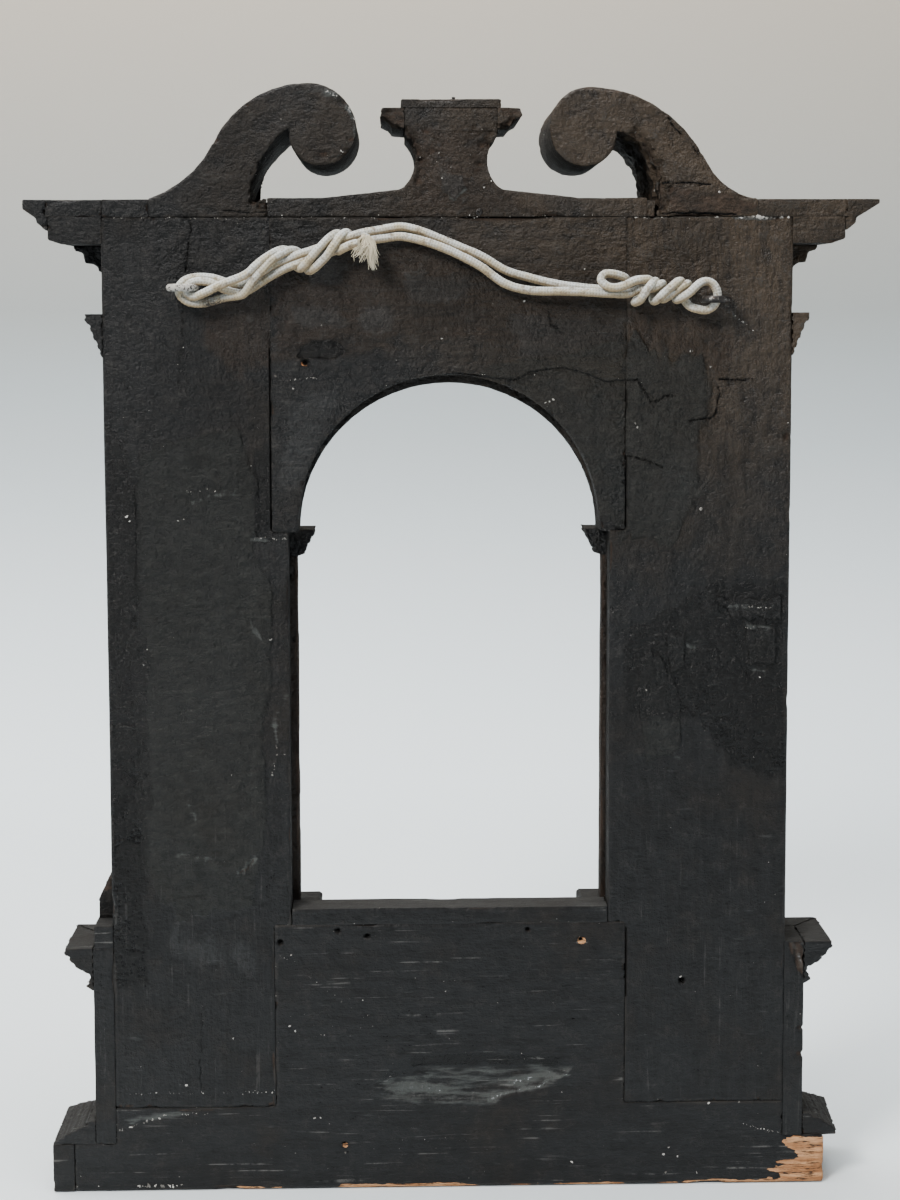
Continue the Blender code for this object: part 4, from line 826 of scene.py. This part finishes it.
# The arch rail: one wide board across between the stiles, its lower edge sawn to the round arch. A shallow
# wane runs from the crown of the arch to its right edge, and its surface is stained brown behind the rope.
wood = WornWood("arch_rail", grain=0)
wood.wear()
wood.patch("stain", ((97, 518), (60, 520), (20, 538), (-20, 530), (-60, 512), (-98, 508), (-98, 482),
                     (-40, 478), (20, 484), (97, 472)), soft=5, ragged=6)
for cloudy in (((76, 527), (57, 523), (58, 513), (75, 516)), ((88, 503), (60, 502), (56, 488), (84, 488)),
               ((49, 501), (31, 500), (32, 487), (48, 487)), ((24, 518), (-14, 516), (-12, 504), (22, 504)),
               ((-30, 500), (-96, 492), (-97, 470), (-40, 474)),
               ((90, 450), (60, 455), (80, 400), (95, 400))):
    wood.patch("haze", cloudy, soft=4, ragged=4)
wood.patch("gloss", ((84, 480), (66, 485), (56, 478), (68, 474), (83, 475)), -0.9, 1.5)
wood.patch("patch", ((-100, 482), (-64, 474), (-20, 464), (-44, 446), (-70, 410), (-100, 370)), 0.3, 3, 7)
wane_x = (-100, -87.4, -76.6, -63.2, -49.8, -35, -6.8, 4)
wane_z = (461, 459.1, 463.8, 467.2, 465.9, 460.6, 464, 464)
below = np.clip((np.interp(wood.across, wane_x, wane_z) - wood.up) / 0.8, 0, 1)
wood.press(0.0012 * below * wood.back * np.clip((6 - wood.across) / 14, 0, 1))
wood.cut(list(zip(wane_x, wane_z)), 0.35, 0.5)
wood.notch((-55.2, 24, 441), (3.5, 8, 3), 2.2)
wood.cut(((60, 473.1), (40, 472.4), (11.9, 472.8)), 0.3, 0.3, "haze")
wood.cut(((-55.1, 497.9), (-55.8, 491.3), (-64.5, 485.2)), 0.4, 0.6)
wood.cut(((79.6, 469.6),), 1.9, 0.3, "bare")
wood.cut(((79.1, 470.3),), 1.7, 2.4)
wood.crumbs += [(-24.3, 502.7, 0.7), (3.8, 483.4, 0.7), (-55.8, 448.4, 1.3), (-53.5, 447.6, 0.9),
                (-57.8, 449.6, 0.8), (-75.1, 521.2, 0.7), (-41.7, 503.9, 0.7), (86, 456, 0.7),
                (95.5, 463, 0.8), (70, 491, 0.6)]
wood.strew((97, 549.7), (-97, 549.7), 60, 0.25, 0.6)
# A pale line along the top arris: edge wear, and partly a painted highlight
wood.streak("pale", ((98, 550.2), (-98, 550.2)), 1.4, 0.7, 0.6)
wood.strew((88, 461), (72, 462), 12, 0.2, 0.5)
wood.settle(level_black, 0.35, 60)


# The base board: foot and bottom rail in one wide board, with scratches along the grain. A long flake has
# been torn out low in the middle, nail holes show bare wood along the top, the lower edge is worn, and the
# right end, which has lost its return, shows bare reddish wood.
wood = WornWood("base_board", grain=0)
wood.wear()
GOUGE = [(44.4, 60.1), (31.4, 71.3), (17.4, 78.3), (-24.5, 78.8), (-50, 76), (-72.5, 70), (-54.5, 57.9),
         (-30.4, 52), (-24.4, 48), (5.6, 50.4), (29.5, 51.7)]
far = how_far(wood.across, wood.up, GOUGE, True) + 1.5 * wood.cloud(0.008, 3)
torn = np.clip(-far / 9, 0, 1) * wood.back
wood.press(0.0030 * torn ** 0.7 * (1 + 0.2 * wood.cloud(0.005, 31)))
# Painted light: the gouge's lower slope, which faces the lamp, is painted pale
wood.streak("pale", ((36, 58.5), (20, 58), (4, 56.5)), 8.5, 0.95, 2.5)
# The torn wood inside is painted mid-grey: partly its own paler surface, partly painted light
TORN = [(39.5, 58.2), (33.5, 50), (-3.6, 45.9), (-25.9, 47.6), (-31.8, 52.5), (-51.1, 54.9), (-66, 63.1),
        (-70.4, 69.6), (-40.7, 70), (14.2, 69), (17.2, 61.4), (33.5, 60.6)]
far = how_far(wood.across, wood.up, TORN, True) + 0.8 * wood.ragged
wood.mark("pale", 0.55 * np.clip(0.5 - far / 3, 0, 1) * wood.back)
# Painted light on the lower slope further along the gouge
wood.streak("pale", ((-34, 59.5), (-47, 63), (-57, 65.5)), 6.5, 1, 3)
# Painted highlight: a near-white line along the torn lower edge
highlit_torn_edge = ((-22, 50), (-28, 52.8), (-37, 55.4), (-50.3, 57.6), (-55.5, 61.2), (-67, 64.6))
wood.streak("pale", highlit_torn_edge, 1.5, 1.5, 0.5)
# Painted shade: a dark glossy band under the gouge's upper lip
wood.streak("gloss", ((20, 73), (-24, 74), (-60, 72)), 6, 1, 2)
for crack in (((16, 67.6), (2, 68.2), (-10, 67.4)), ((10, 71.5), (-20, 73), (-44, 71)),
              ((-16, 64), (-34, 66.5), (-52, 67))):
    wood.cut(crack, 0.35, 0.8)
fingers = 8 * wood.cloud(0.0026, 21, 3)
END_GRAIN = [(-195.5, 28), (-195.5, 20), (-201, 17), (-201, 13.5), (-192, 11), (-189, 6), (-182, 3),
             (-182, -4), (-225, -4), (-225, 30)]
far = how_far(wood.across, wood.up, END_GRAIN, True) + fingers
back_and_end = np.maximum(wood.back, wood.normals[:, 0] < -0.5)
wood.mark("bare", np.clip(0.5 - far / 0.8, 0, 1) * back_and_end)
for x0, x1, height in ((122, 96, 1), (62, -8, 1.9), (-8, -150, 0.7), (-150, -182, 1.6)):
    far = how_far(wood.across, wood.up, [(x0, 0), (x1, 0)]) - height + 0.14 * fingers
    wood.mark("bare", np.clip(0.5 - far / 0.7, 0, 1) * wood.back)
wood.streak("pale", ((186, 36), (178, 41), (163, 43.6), (146, 44.4)), 2.8, 0.85, 1.2)
for x, z, radius in ((96, 143.4, 1.5), (63.5, 149.7, 1.4), (46.9, 146.5, 1.4), (-44, 149.6, 1.2)):
    wood.cut(((x - 0.2, z - 0.5),), radius, 0.3, "broken")
    wood.cut(((x, z),), radius, 2.4)
wood.cut(((60, 24.8),), 1.9, 0.4, "bare")
wood.cut(((60.4, 25.6),), 1.1, 2)
wood.cut(((-74.6, 142.6),), 2.4, 1.2, "bare")
wood.cut(((-74, 143.3),), 1.1, 2)
for z, x0, x1 in ((139, -30.5, -72.3), (88.6, 85, 57), (27.3, 43.6, -8.4), (116, 88, 40), (110, 84, 50),
                  (101, 92, 46), (95, 86, 64), (121, 20, -30), (106, -20, -70), (34, 70, 20)):
    wood.cut(((x0, z), ((x0 + x1) / 2, z + 0.3), (x1, z)), 0.16, 0.15, "haze")
wood.crumbs += [(77.5, 41, 0.7), (74, 41.2, 0.8), (-112.5, 141.4, 0.7), (-124.8, 21.2, 1),
                (-121.9, 17.1, 0.8), (-130, 15.8, 0.9), (-123.1, 6.4, 0.7), (-141, 6.2, 0.8),
                (-147.6, 47, 0.8), (-164.9, 47, 1.2), (-69.5, 13.1, 1), (90, 136, 0.7), (91, 95, 1.1),
                (88, 92, 0.8), (60, 20.5, 0.7)]
wood.strew((188, 35), (162, 43.5), 22, 0.3, 0.9)
wood.strew((160, 43.5), (137, 44.5), 10, 0.3, 0.6)
wood.strew((-166, 34.5), (-193, 27.5), 20, 0.25, 0.7)
wood.strew((178, 2.2), (150, 2.4), 26, 0.5, 1.2)
wood.strew((96, 136), (40, 92), 14, 0.2, 0.5)
wood.settle(level_black, 0.35, 220)


# The opening's order: the sill strip nailed on the bottom rail, its top worn grey, the two jamb strips with
# a paler sawn edge, and beyond them the small bases, imposts and archivolt that face the front.
def wear_out(name, material, grain, grid=0.0008, share=0.25, specks=6, chips=0.0009, steps=0):
    """A piece with no marks of its own."""
    wood = WornWood(name, grid, grain)
    wood.wear(0.00014, 0.00010, chips=chips, size=0.005)
    if steps:
        wood.terrace(steps, 0.9)
    wood.settle(material, share, specks)


wood = WornWood("sill_strip", 0.0008, 0)
wood.wear(0.00015, chips=0.0010)
wood.mark("haze", (wood.normals[:, 2] > 0.5) * 0.9)
wood.strew((83, 153.6), (-83, 153.6), 24, 0.2, 0.45)
wood.settle(level_black, 0.4, 16)
for side, name in ((1, "jamb_strip_left"), (-1, "jamb_strip_right")):
    wood = WornWood(name, 0.0009, 2)
    wood.wear(0.00015, chips=0.0010, size=0.010)
    inner = np.abs(wood.across) - np.abs(wood.across).min()
    wood.mark("stain", wood.back * 0.8)
    outer = np.abs(wood.across).max() - np.abs(wood.across)
    wood.mark("broken", np.clip(1.9 - np.minimum(inner, outer) / 1.2, 0, 1) * (0.95 + 0.5 * wood.ragged))
    wood.mark("broken", (wood.normals[:, 0] * side < -0.5) * (0.55 + 0.3 * side + 0.5 * wood.ragged))
    wood.settle(upright_black, 0.4, 10)
for name in ("inner_base_left", "inner_base_right"):
    wear_out(name, carved_black, 0, 0.00055)
for name in ("impost_left", "impost_right"):
    wear_out(name, carved_black, 0, 0.0005, chips=0.0012, steps=4)
wear_out("archivolt", level_black, 0, 0.0009)


# The two pilasters with their plinths, bases, necking beads and capitals. They face the front, and only
# their edges show from behind, with the profiles of the bases and capitals broken in places.
for side in ("left", "right"):
    wear_out("pilaster_" + side, upright_black, 2, 0.0014)
    wear_out("pilaster_plinth_" + side, level_black, 0, 0.0008)
    wear_out("astragal_" + side, level_black, 0, 0.0006)
    wear_out("capital_" + side, carved_black, 0, 0.0005, chips=0.0014, steps=5)
wear_out("pilaster_base_right", carved_black, 0, 0.0005)
wood = WornWood("pilaster_base_left", 0.0005, 0)
wood.wear(0.00010, 0.00010, chips=0.0003)
edge_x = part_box("stile_left")[1][0]
rise = (wood.up - wood.up.min()) / np.ptp(wood.up)
as_sawn = np.interp(rise, (0.26, 0.39, 0.43, 0.50, 0.64, 0.78, 0.86), (1, 0.83, 0.62, 0.62, 0.44, 0.23, 0.12))
wanted = np.interp(rise, (0, 0.48, 1), (1, 1, 0.40))
beyond = np.maximum(wood.points[:, 0] - edge_x, 0)
wood.points[:, 0] += beyond * (wanted / as_sawn - 1)
wood.points[:, 2] += 0.0065 * rise
wood.settle(carved_black, 0.5, 4)


# The foot: dado and plinth boards closing the front and sides, and the mitred mouldings on them. The right
# plinth return is missing and the ends beside it are torn.
wear_out("dado_front", level_black, 0, 0.0017)
wear_out("plinth_front", level_black, 0, 0.0015)
wear_out("dado_side_left", upright_black, 2)
wood = WornWood("dado_side_right", 0.0008, 2)
wood.wear(0.00015, chips=0.0010)
for height, reach in ((143, 3.5), (131, 4), (90.6, 2), (75.3, 2.5)):
    wood.notch((-200, 26, height), (3.5, 5, reach), 1.2)
split_off = ((-190, 148), (-197, 145), (-202, 132), (-203, 121), (-198, 124), (-192, 138))
wood.patch("broken", split_off, -1, 0.8, 2.5)
wood.streak("pale", ((-192, 144), (-196.5, 137), (-200.5, 127)), 2.2, 1.1, 1.2)
wood.settle(upright_black, 0.4, 10)
for name in ("plinth_return_left", "ledge_moulding_front", "base_moulding_front"):
    wear_out(name, level_black, 0, 0.0008, chips=0.0015)
for name in ("ledge_moulding_left", "ledge_moulding_right", "base_moulding_left", "base_moulding_right"):
    wear_out(name, level_black, 0, 0.0006, chips=0.0015, steps=6)


# The entablature: frieze, bed moulding, corona with its end blocks, and the raking cornice, roofed beside
# the scrolls by three thin boards. Their black is browner than the body's.
for name in ("frieze_board", "corona_front"):
    wear_out(name, level_black, 0, 0.0016)
for name in ("bed_moulding", "cornice_moulding_front", "cornice_moulding_left", "cornice_moulding_right",
             "corona_block_left", "corona_block_right"):
    wear_out(name, level_black, 0, 0.0008, chips=0.0013)
for name in ("top_board_left_outer", "top_board_left_inner", "top_board_right"):
    wear_out(name, level_black, 0, 0.0008, specks=14, chips=0.0010)


# The pediment: a tie board that rises into a waisted bracket, two sawn scrolls, and a sliver let in beside
# the right one. The bracket's moulding is broken off at both ends, its waist is split, and both scrolls'
# stems are torn where something was wrenched off them.
wood = WornWood("pediment_board", 0.0009, 0)
wood.wear(0.00025, 0.00020)
for x, z, reach in ((20, 592, 3), (17.5, 586.5, 2.5), (15, 581, 2), (-17, 579, 2), (-21.5, 590, 2)):
    wood.notch((x, 24, z), (2.6, 7, reach), 1.5)
flap = ((4, 573), (-8, 572.5), (-9.5, 565), (-5.5, 562), (-3.5, 558.5), (0.5, 562), (4, 563.5))
wood.patch("haze", flap, 0.6, 0.6, 1.5)
wood.streak("pale", flap[2:], 1.1, 0.8, 0.5)
for x, z, reach in ((9.5, 586, 3.5), (-13.5, 582.5, 3), (-16, 575, 3), (12, 596.5, 2.5), (-13.5, 598.5, 1.6)):
    wood.notch((x, 27, z), (reach, 3, reach * 0.8), 0.7)
wood.patch("stain", ((24, 600), (-24, 600), (-17, 575), (-40, 556), (-70, 552), (30, 552), (16, 575)), soft=6)
wood.tear(((22, 597), (19, 590), (15.5, 583), (14, 577), (16, 570)), 2.4, 1.4)
wood.tear(((-22, 596), (-18.5, 589)), 2, 1.2)
for crack in (((-1.7, 596.5), (-14, 596), (-27.5, 596.4)), ((-15.4, 579.6), (-21, 578.8)),
              ((9.3, 593.5), (5, 592.5), (2.8, 588.6))):
    wood.cut(crack, 0.30, 0.45, "crease")
wood.crumbs += [(-18.6, 597.4, 0.8), (10, 583.3, 0.5), (5, 584.8, 0.5), (-1.5, 577, 0.4), (3.5, 571, 0.4),
                (15.5, 582.5, 0.4), (-23.5, 569.5, 0.5), (-19.5, 566, 0.6)]
wood.strew((97, 550.6), (-100, 550.6), 46, 0.2, 0.45)
wood.settle(carved_black, 0.4, 40)
for name in ("bracket_top_plate", "filler_strip"):
    wear_out(name, carved_black, 0, 0.0007)
wood = WornWood("bracket_moulding", 0.0007, 0)
wood.wear(0.00015, chips=0.0015, size=0.005, rarity=0.15)
wood.mark("broken", wood.back * (0.55 + 0.6 * wood.ragged))
wood.tear(((36, 605), (30, 594), (26, 590)), 2.2, 1.8)
wood.tear(((-36, 603), (-30, 595)), 2, 1.5)
for x, z in ((36, 600), (33, 607), (28, 595.5), (-37, 601), (-31, 596)):
    wood.notch((x, 24, z), (2.5, 8, 2.5), 1.5)
wood.points[:, 2] += 0.0042 * (1 - (wood.up - wood.up.min()) / np.ptp(wood.up)) ** 1.2
wood.settle(carved_black, 0.5, 10)

wood = WornWood("scroll_left", 0.0010, 0)
wood.wear(0.00025)
wood.tear(((100, 578), (104.5, 568), (106, 558)), 3.4, 2.6)
wood.tear(((90, 592), (96, 586)), 1.6, 1)
under = np.clip(-2 * wood.normals[:, 0], 0, 1) * (wood.across > 86) * np.clip((593 - wood.up) / 26, 0, 1)
wood.points[:, 0] += 0.0048 * under * np.clip((BACK_Y * 1000 - 2 - wood.behind) / 12, 0, 1)
wood.press(0.0012 * under * wood.cloud(0.007, 3, 3, False))
for rim in (((54.8, 609), (52, 603), (51, 593)), ((66.5, 617.5), (60.5, 615.4)), ((60.5, 583), (56.5, 586))):
    wood.streak("pale", rim, 1.6, 1, 1.2)
for x, z, reach in ((53, 592, 3), (56, 587, 3), (68, 584, 4)):
    wood.notch((x, 27, z), (reach, 3, reach * 0.6), 0.6)
wood.streak("haze", ((52, 604), (58, 613), (70, 619.5), (84, 617), (100, 606), (120, 583)), 1.6, 0.9, 0.6)
wood.cut(((61, 586), (70, 585), (76, 586.5)), 0.3, 0.35, "haze")
wood.cut(((57, 583.5), (64, 582.2), (73, 583)), 0.3, 0.35, "haze")
wood.cut(((98, 553.5), (108, 552), (124, 554)), 0.35, 0.6)
wood.strew((54, 609), (50.6, 602), 14, 0.3, 0.8)
wood.strew((67, 618.5), (60.5, 615), 8, 0.3, 0.8)
wood.strew((60, 586), (57, 585), 5, 0.3, 0.6)
wood.crumbs += [(91.1, 603, 0.8)]
wood.settle(carved_black, 0.4, 40)

wood = WornWood("scroll_right", 0.0010, 0)
wood.wear(0.00025)
for crack in (((-120, 604), (-124, 598.5), (-127.5, 595)), ((-134, 588.5), (-137, 584))):
    wood.cut(crack, 0.35, 0.8)
    wood.streak("pale", [(x - 1.2, z + 1) for x, z in crack], 1, 0.6, 0.5)
under = np.clip(2 * wood.normals[:, 0], 0, 1) * (wood.across < -86) * (wood.up < 596)
wood.press(0.0026 * under * wood.cloud(0.009, 3, 3, False))
for x, z, reach in ((-112.5, 580, 4), (-116.5, 565, 4)):
    far = np.hypot(wood.across - x, wood.up - z) / reach + (BACK_Y * 1000 - wood.behind) / 14
    wood.press(-0.0016 * np.clip(1.4 - far, 0, 1) * under)
    # Painted highlight: the raised lumps on the inner soffit are painted pale as glints
    wood.mark("pale", 0.75 * np.clip(1.5 - far, 0, 1) * under)
wood.tear(((-102, 594), (-108, 587), (-113.5, 577), (-116.5, 566), (-117, 556)), 4, 2.6)
wood.patch("broken", ((-122, 566), (-150, 564), (-172, 557), (-170, 549), (-122, 549)), soft=1.5, ragged=3)
wood.cut(((-116, 568.4), (-130, 568.8), (-144.4, 567.6)), 0.45, 0.8)
wood.cut(((-118, 551.6), (-131, 552.2), (-146, 551.4), (-158, 551.5)), 0.5, 1)
wood.crumbs += [(-102.8, 596, 0.9), (-149, 563.4, 0.7), (-84, 619, 0.6)]
wood.settle(carved_black, 0.4, 30)


# The rope's cotton: a cream plait with blotches of grime, painted light that makes it bluish-pale on top,
# painted shade that makes it tan underneath and dark in the hollows between plaits, and a smear of tar at the
# foot of the left loop.
place = place_on(rope_material)
round_it, along_it, _ = place.node("ShaderNodeTexCoord", output=2).parts()
facing_up = place.node("ShaderNodeTexCoord", output=1).parts()[2]
plait = (round_it * PLAITS + along_it * PLAIT_RATE).sine()
plait = plait * (round_it * PLAITS - along_it * PLAIT_RATE).sine()
blotches = place.noise(0.0085, 4.0, 0.65)
yarn = place.noise(0.0009, 3.0, 0.7)
grime = place.noise(0.0042, 4.0, 0.7)
cotton = blotches.ramp(0.38, 0.60).mixed((0.56, 0.50, 0.355), (0.62, 0.64, 0.61))
# Painted light: faces that turn upwards are painted bluish-pale
cotton = (facing_up.ramp(0.2, 0.9) * 0.6).mixed(cotton, (0.66, 0.71, 0.72))
# Painted shade: faces that turn downwards are painted tan
cotton = (1.0 - facing_up.ramp(-0.8, 0.2)).mixed(cotton, (0.36, 0.27, 0.160))
cotton = (grime.ramp(0.52, 0.66) * 0.75).mixed(cotton, (0.22, 0.165, 0.10))
# Painted shade: the hollows between the plaits are painted dark
cotton = ((0.0 - plait).ramp(0.1, 0.9) * 0.45).mixed(cotton, (0.19, 0.15, 0.095))
across, _, up = place.parts()
smear = across.ramp(0.118, 0.124) * (1.0 - across.ramp(0.131, 0.137)) * (1.0 - up.ramp(0.5035, 0.5060))
cotton = (smear * yarn.ramp(0.40, 0.55)).mixed(cotton, (0.035, 0.030, 0.026))
fill_shader(rope_material, cotton, 0.78 + yarn * 0.15, plait * 0.16 + yarn * 0.22 + grime * 0.15, 1.0)


# The ironwork: two forged screw eyes for the rope, the left one splashed with old whitewash, a slotted
# screw in the tie board, and the stub of a nail on top of the bracket.
def rusty_iron(name, splashed):
    """Dark forged iron with rust in its hollows, and whitewash on the part that was splashed."""
    material = plain_material(name, (0.05, 0.045, 0.04), 0.45)
    place = place_on(material)
    pits = place.noise(0.0012, 4.0, 0.7)
    patches = place.noise(0.0045, 3.0, 0.6)
    specks = place.noise(0.0016, 3.0, 0.7)
    colour = patches.ramp(0.46, 0.66).mixed((0.034, 0.032, 0.031), (0.040, 0.024, 0.016))
    white = specks.ramp(0.60 - 0.18 * splashed, 0.64 - 0.16 * splashed) * (0.35 + 0.6 * splashed)
    colour = white.mixed(colour, (0.50, 0.48, 0.44))
    tree = material.node_tree
    metallic = 0.75 - patches.ramp(0.40, 0.60) * 0.4 - white * 0.5
    tree.links.new(metallic.socket, tree.nodes["Principled BSDF"].inputs["Metallic"])
    fill_shader(material, colour, 0.20 + pits * 0.25 + white * 0.4, pits * 0.20 + white * 0.10)
    return material


whitewashed_iron = rusty_iron("whitewashed_iron", 1.0)
dark_iron = rusty_iron("dark_iron", 0.0)
for name, finish in (("screw_eye_left", whitewashed_iron), ("screw_eye_right", dark_iron)):
    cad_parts[name].data.materials.clear()
    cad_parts[name].data.materials.append(finish)

# The face of the screw's head is inset and squeezed to its slot, which stands askew
screw_x = -0.0168
screw_z = 0.5527
face_radius = 0.0014
turn = Matrix.Translation((screw_x, BACK_Y + 0.0003, screw_z)) @ Matrix.Rotation(-math.pi / 2, 4, "X")
bm = bmesh.new()
bmesh.ops.create_cone(bm, cap_ends=True, segments=20, radius1=0.0023, radius2=face_radius, depth=0.0009,
                      matrix=turn)
head = [face for face in bm.faces if face.normal.y > 0.9]
for share, depth in ((0.35, 0.0), (0.02, 0.0006)):
    bmesh.ops.inset_region(bm, faces=head, thickness=face_radius * share, depth=-depth)
for vert in {vert for face in head for vert in face.verts}:
    vert.co.z = screw_z + (vert.co.z - screw_z) * 0.35 + (vert.co.x - screw_x) * 0.6
screw = new_object("tie_screw_head", smooth_mesh("tie_screw_head", bm), dark_iron)


def nail_girth(share, walked, angle):
    """A nail is thicker at its head and hammered out of round."""
    return 1.0 + 0.25 * (share > 0.6) + 0.1 * math.sin(3.0 * angle)


plate_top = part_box("bracket_top_plate")[1][2]
bm = bmesh.new()
shank = [(-0.0030, 0.0200, plate_top - 0.0006 + step * 0.0006) for step in range(5)]
add_strand(bm, shank, 0.0008, 10, nail_girth)
nail = new_object("bracket_nail_stub", smooth_mesh("bracket_nail_stub", bm), dark_iron)
for piece in (screw, nail):
    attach(piece, "root")
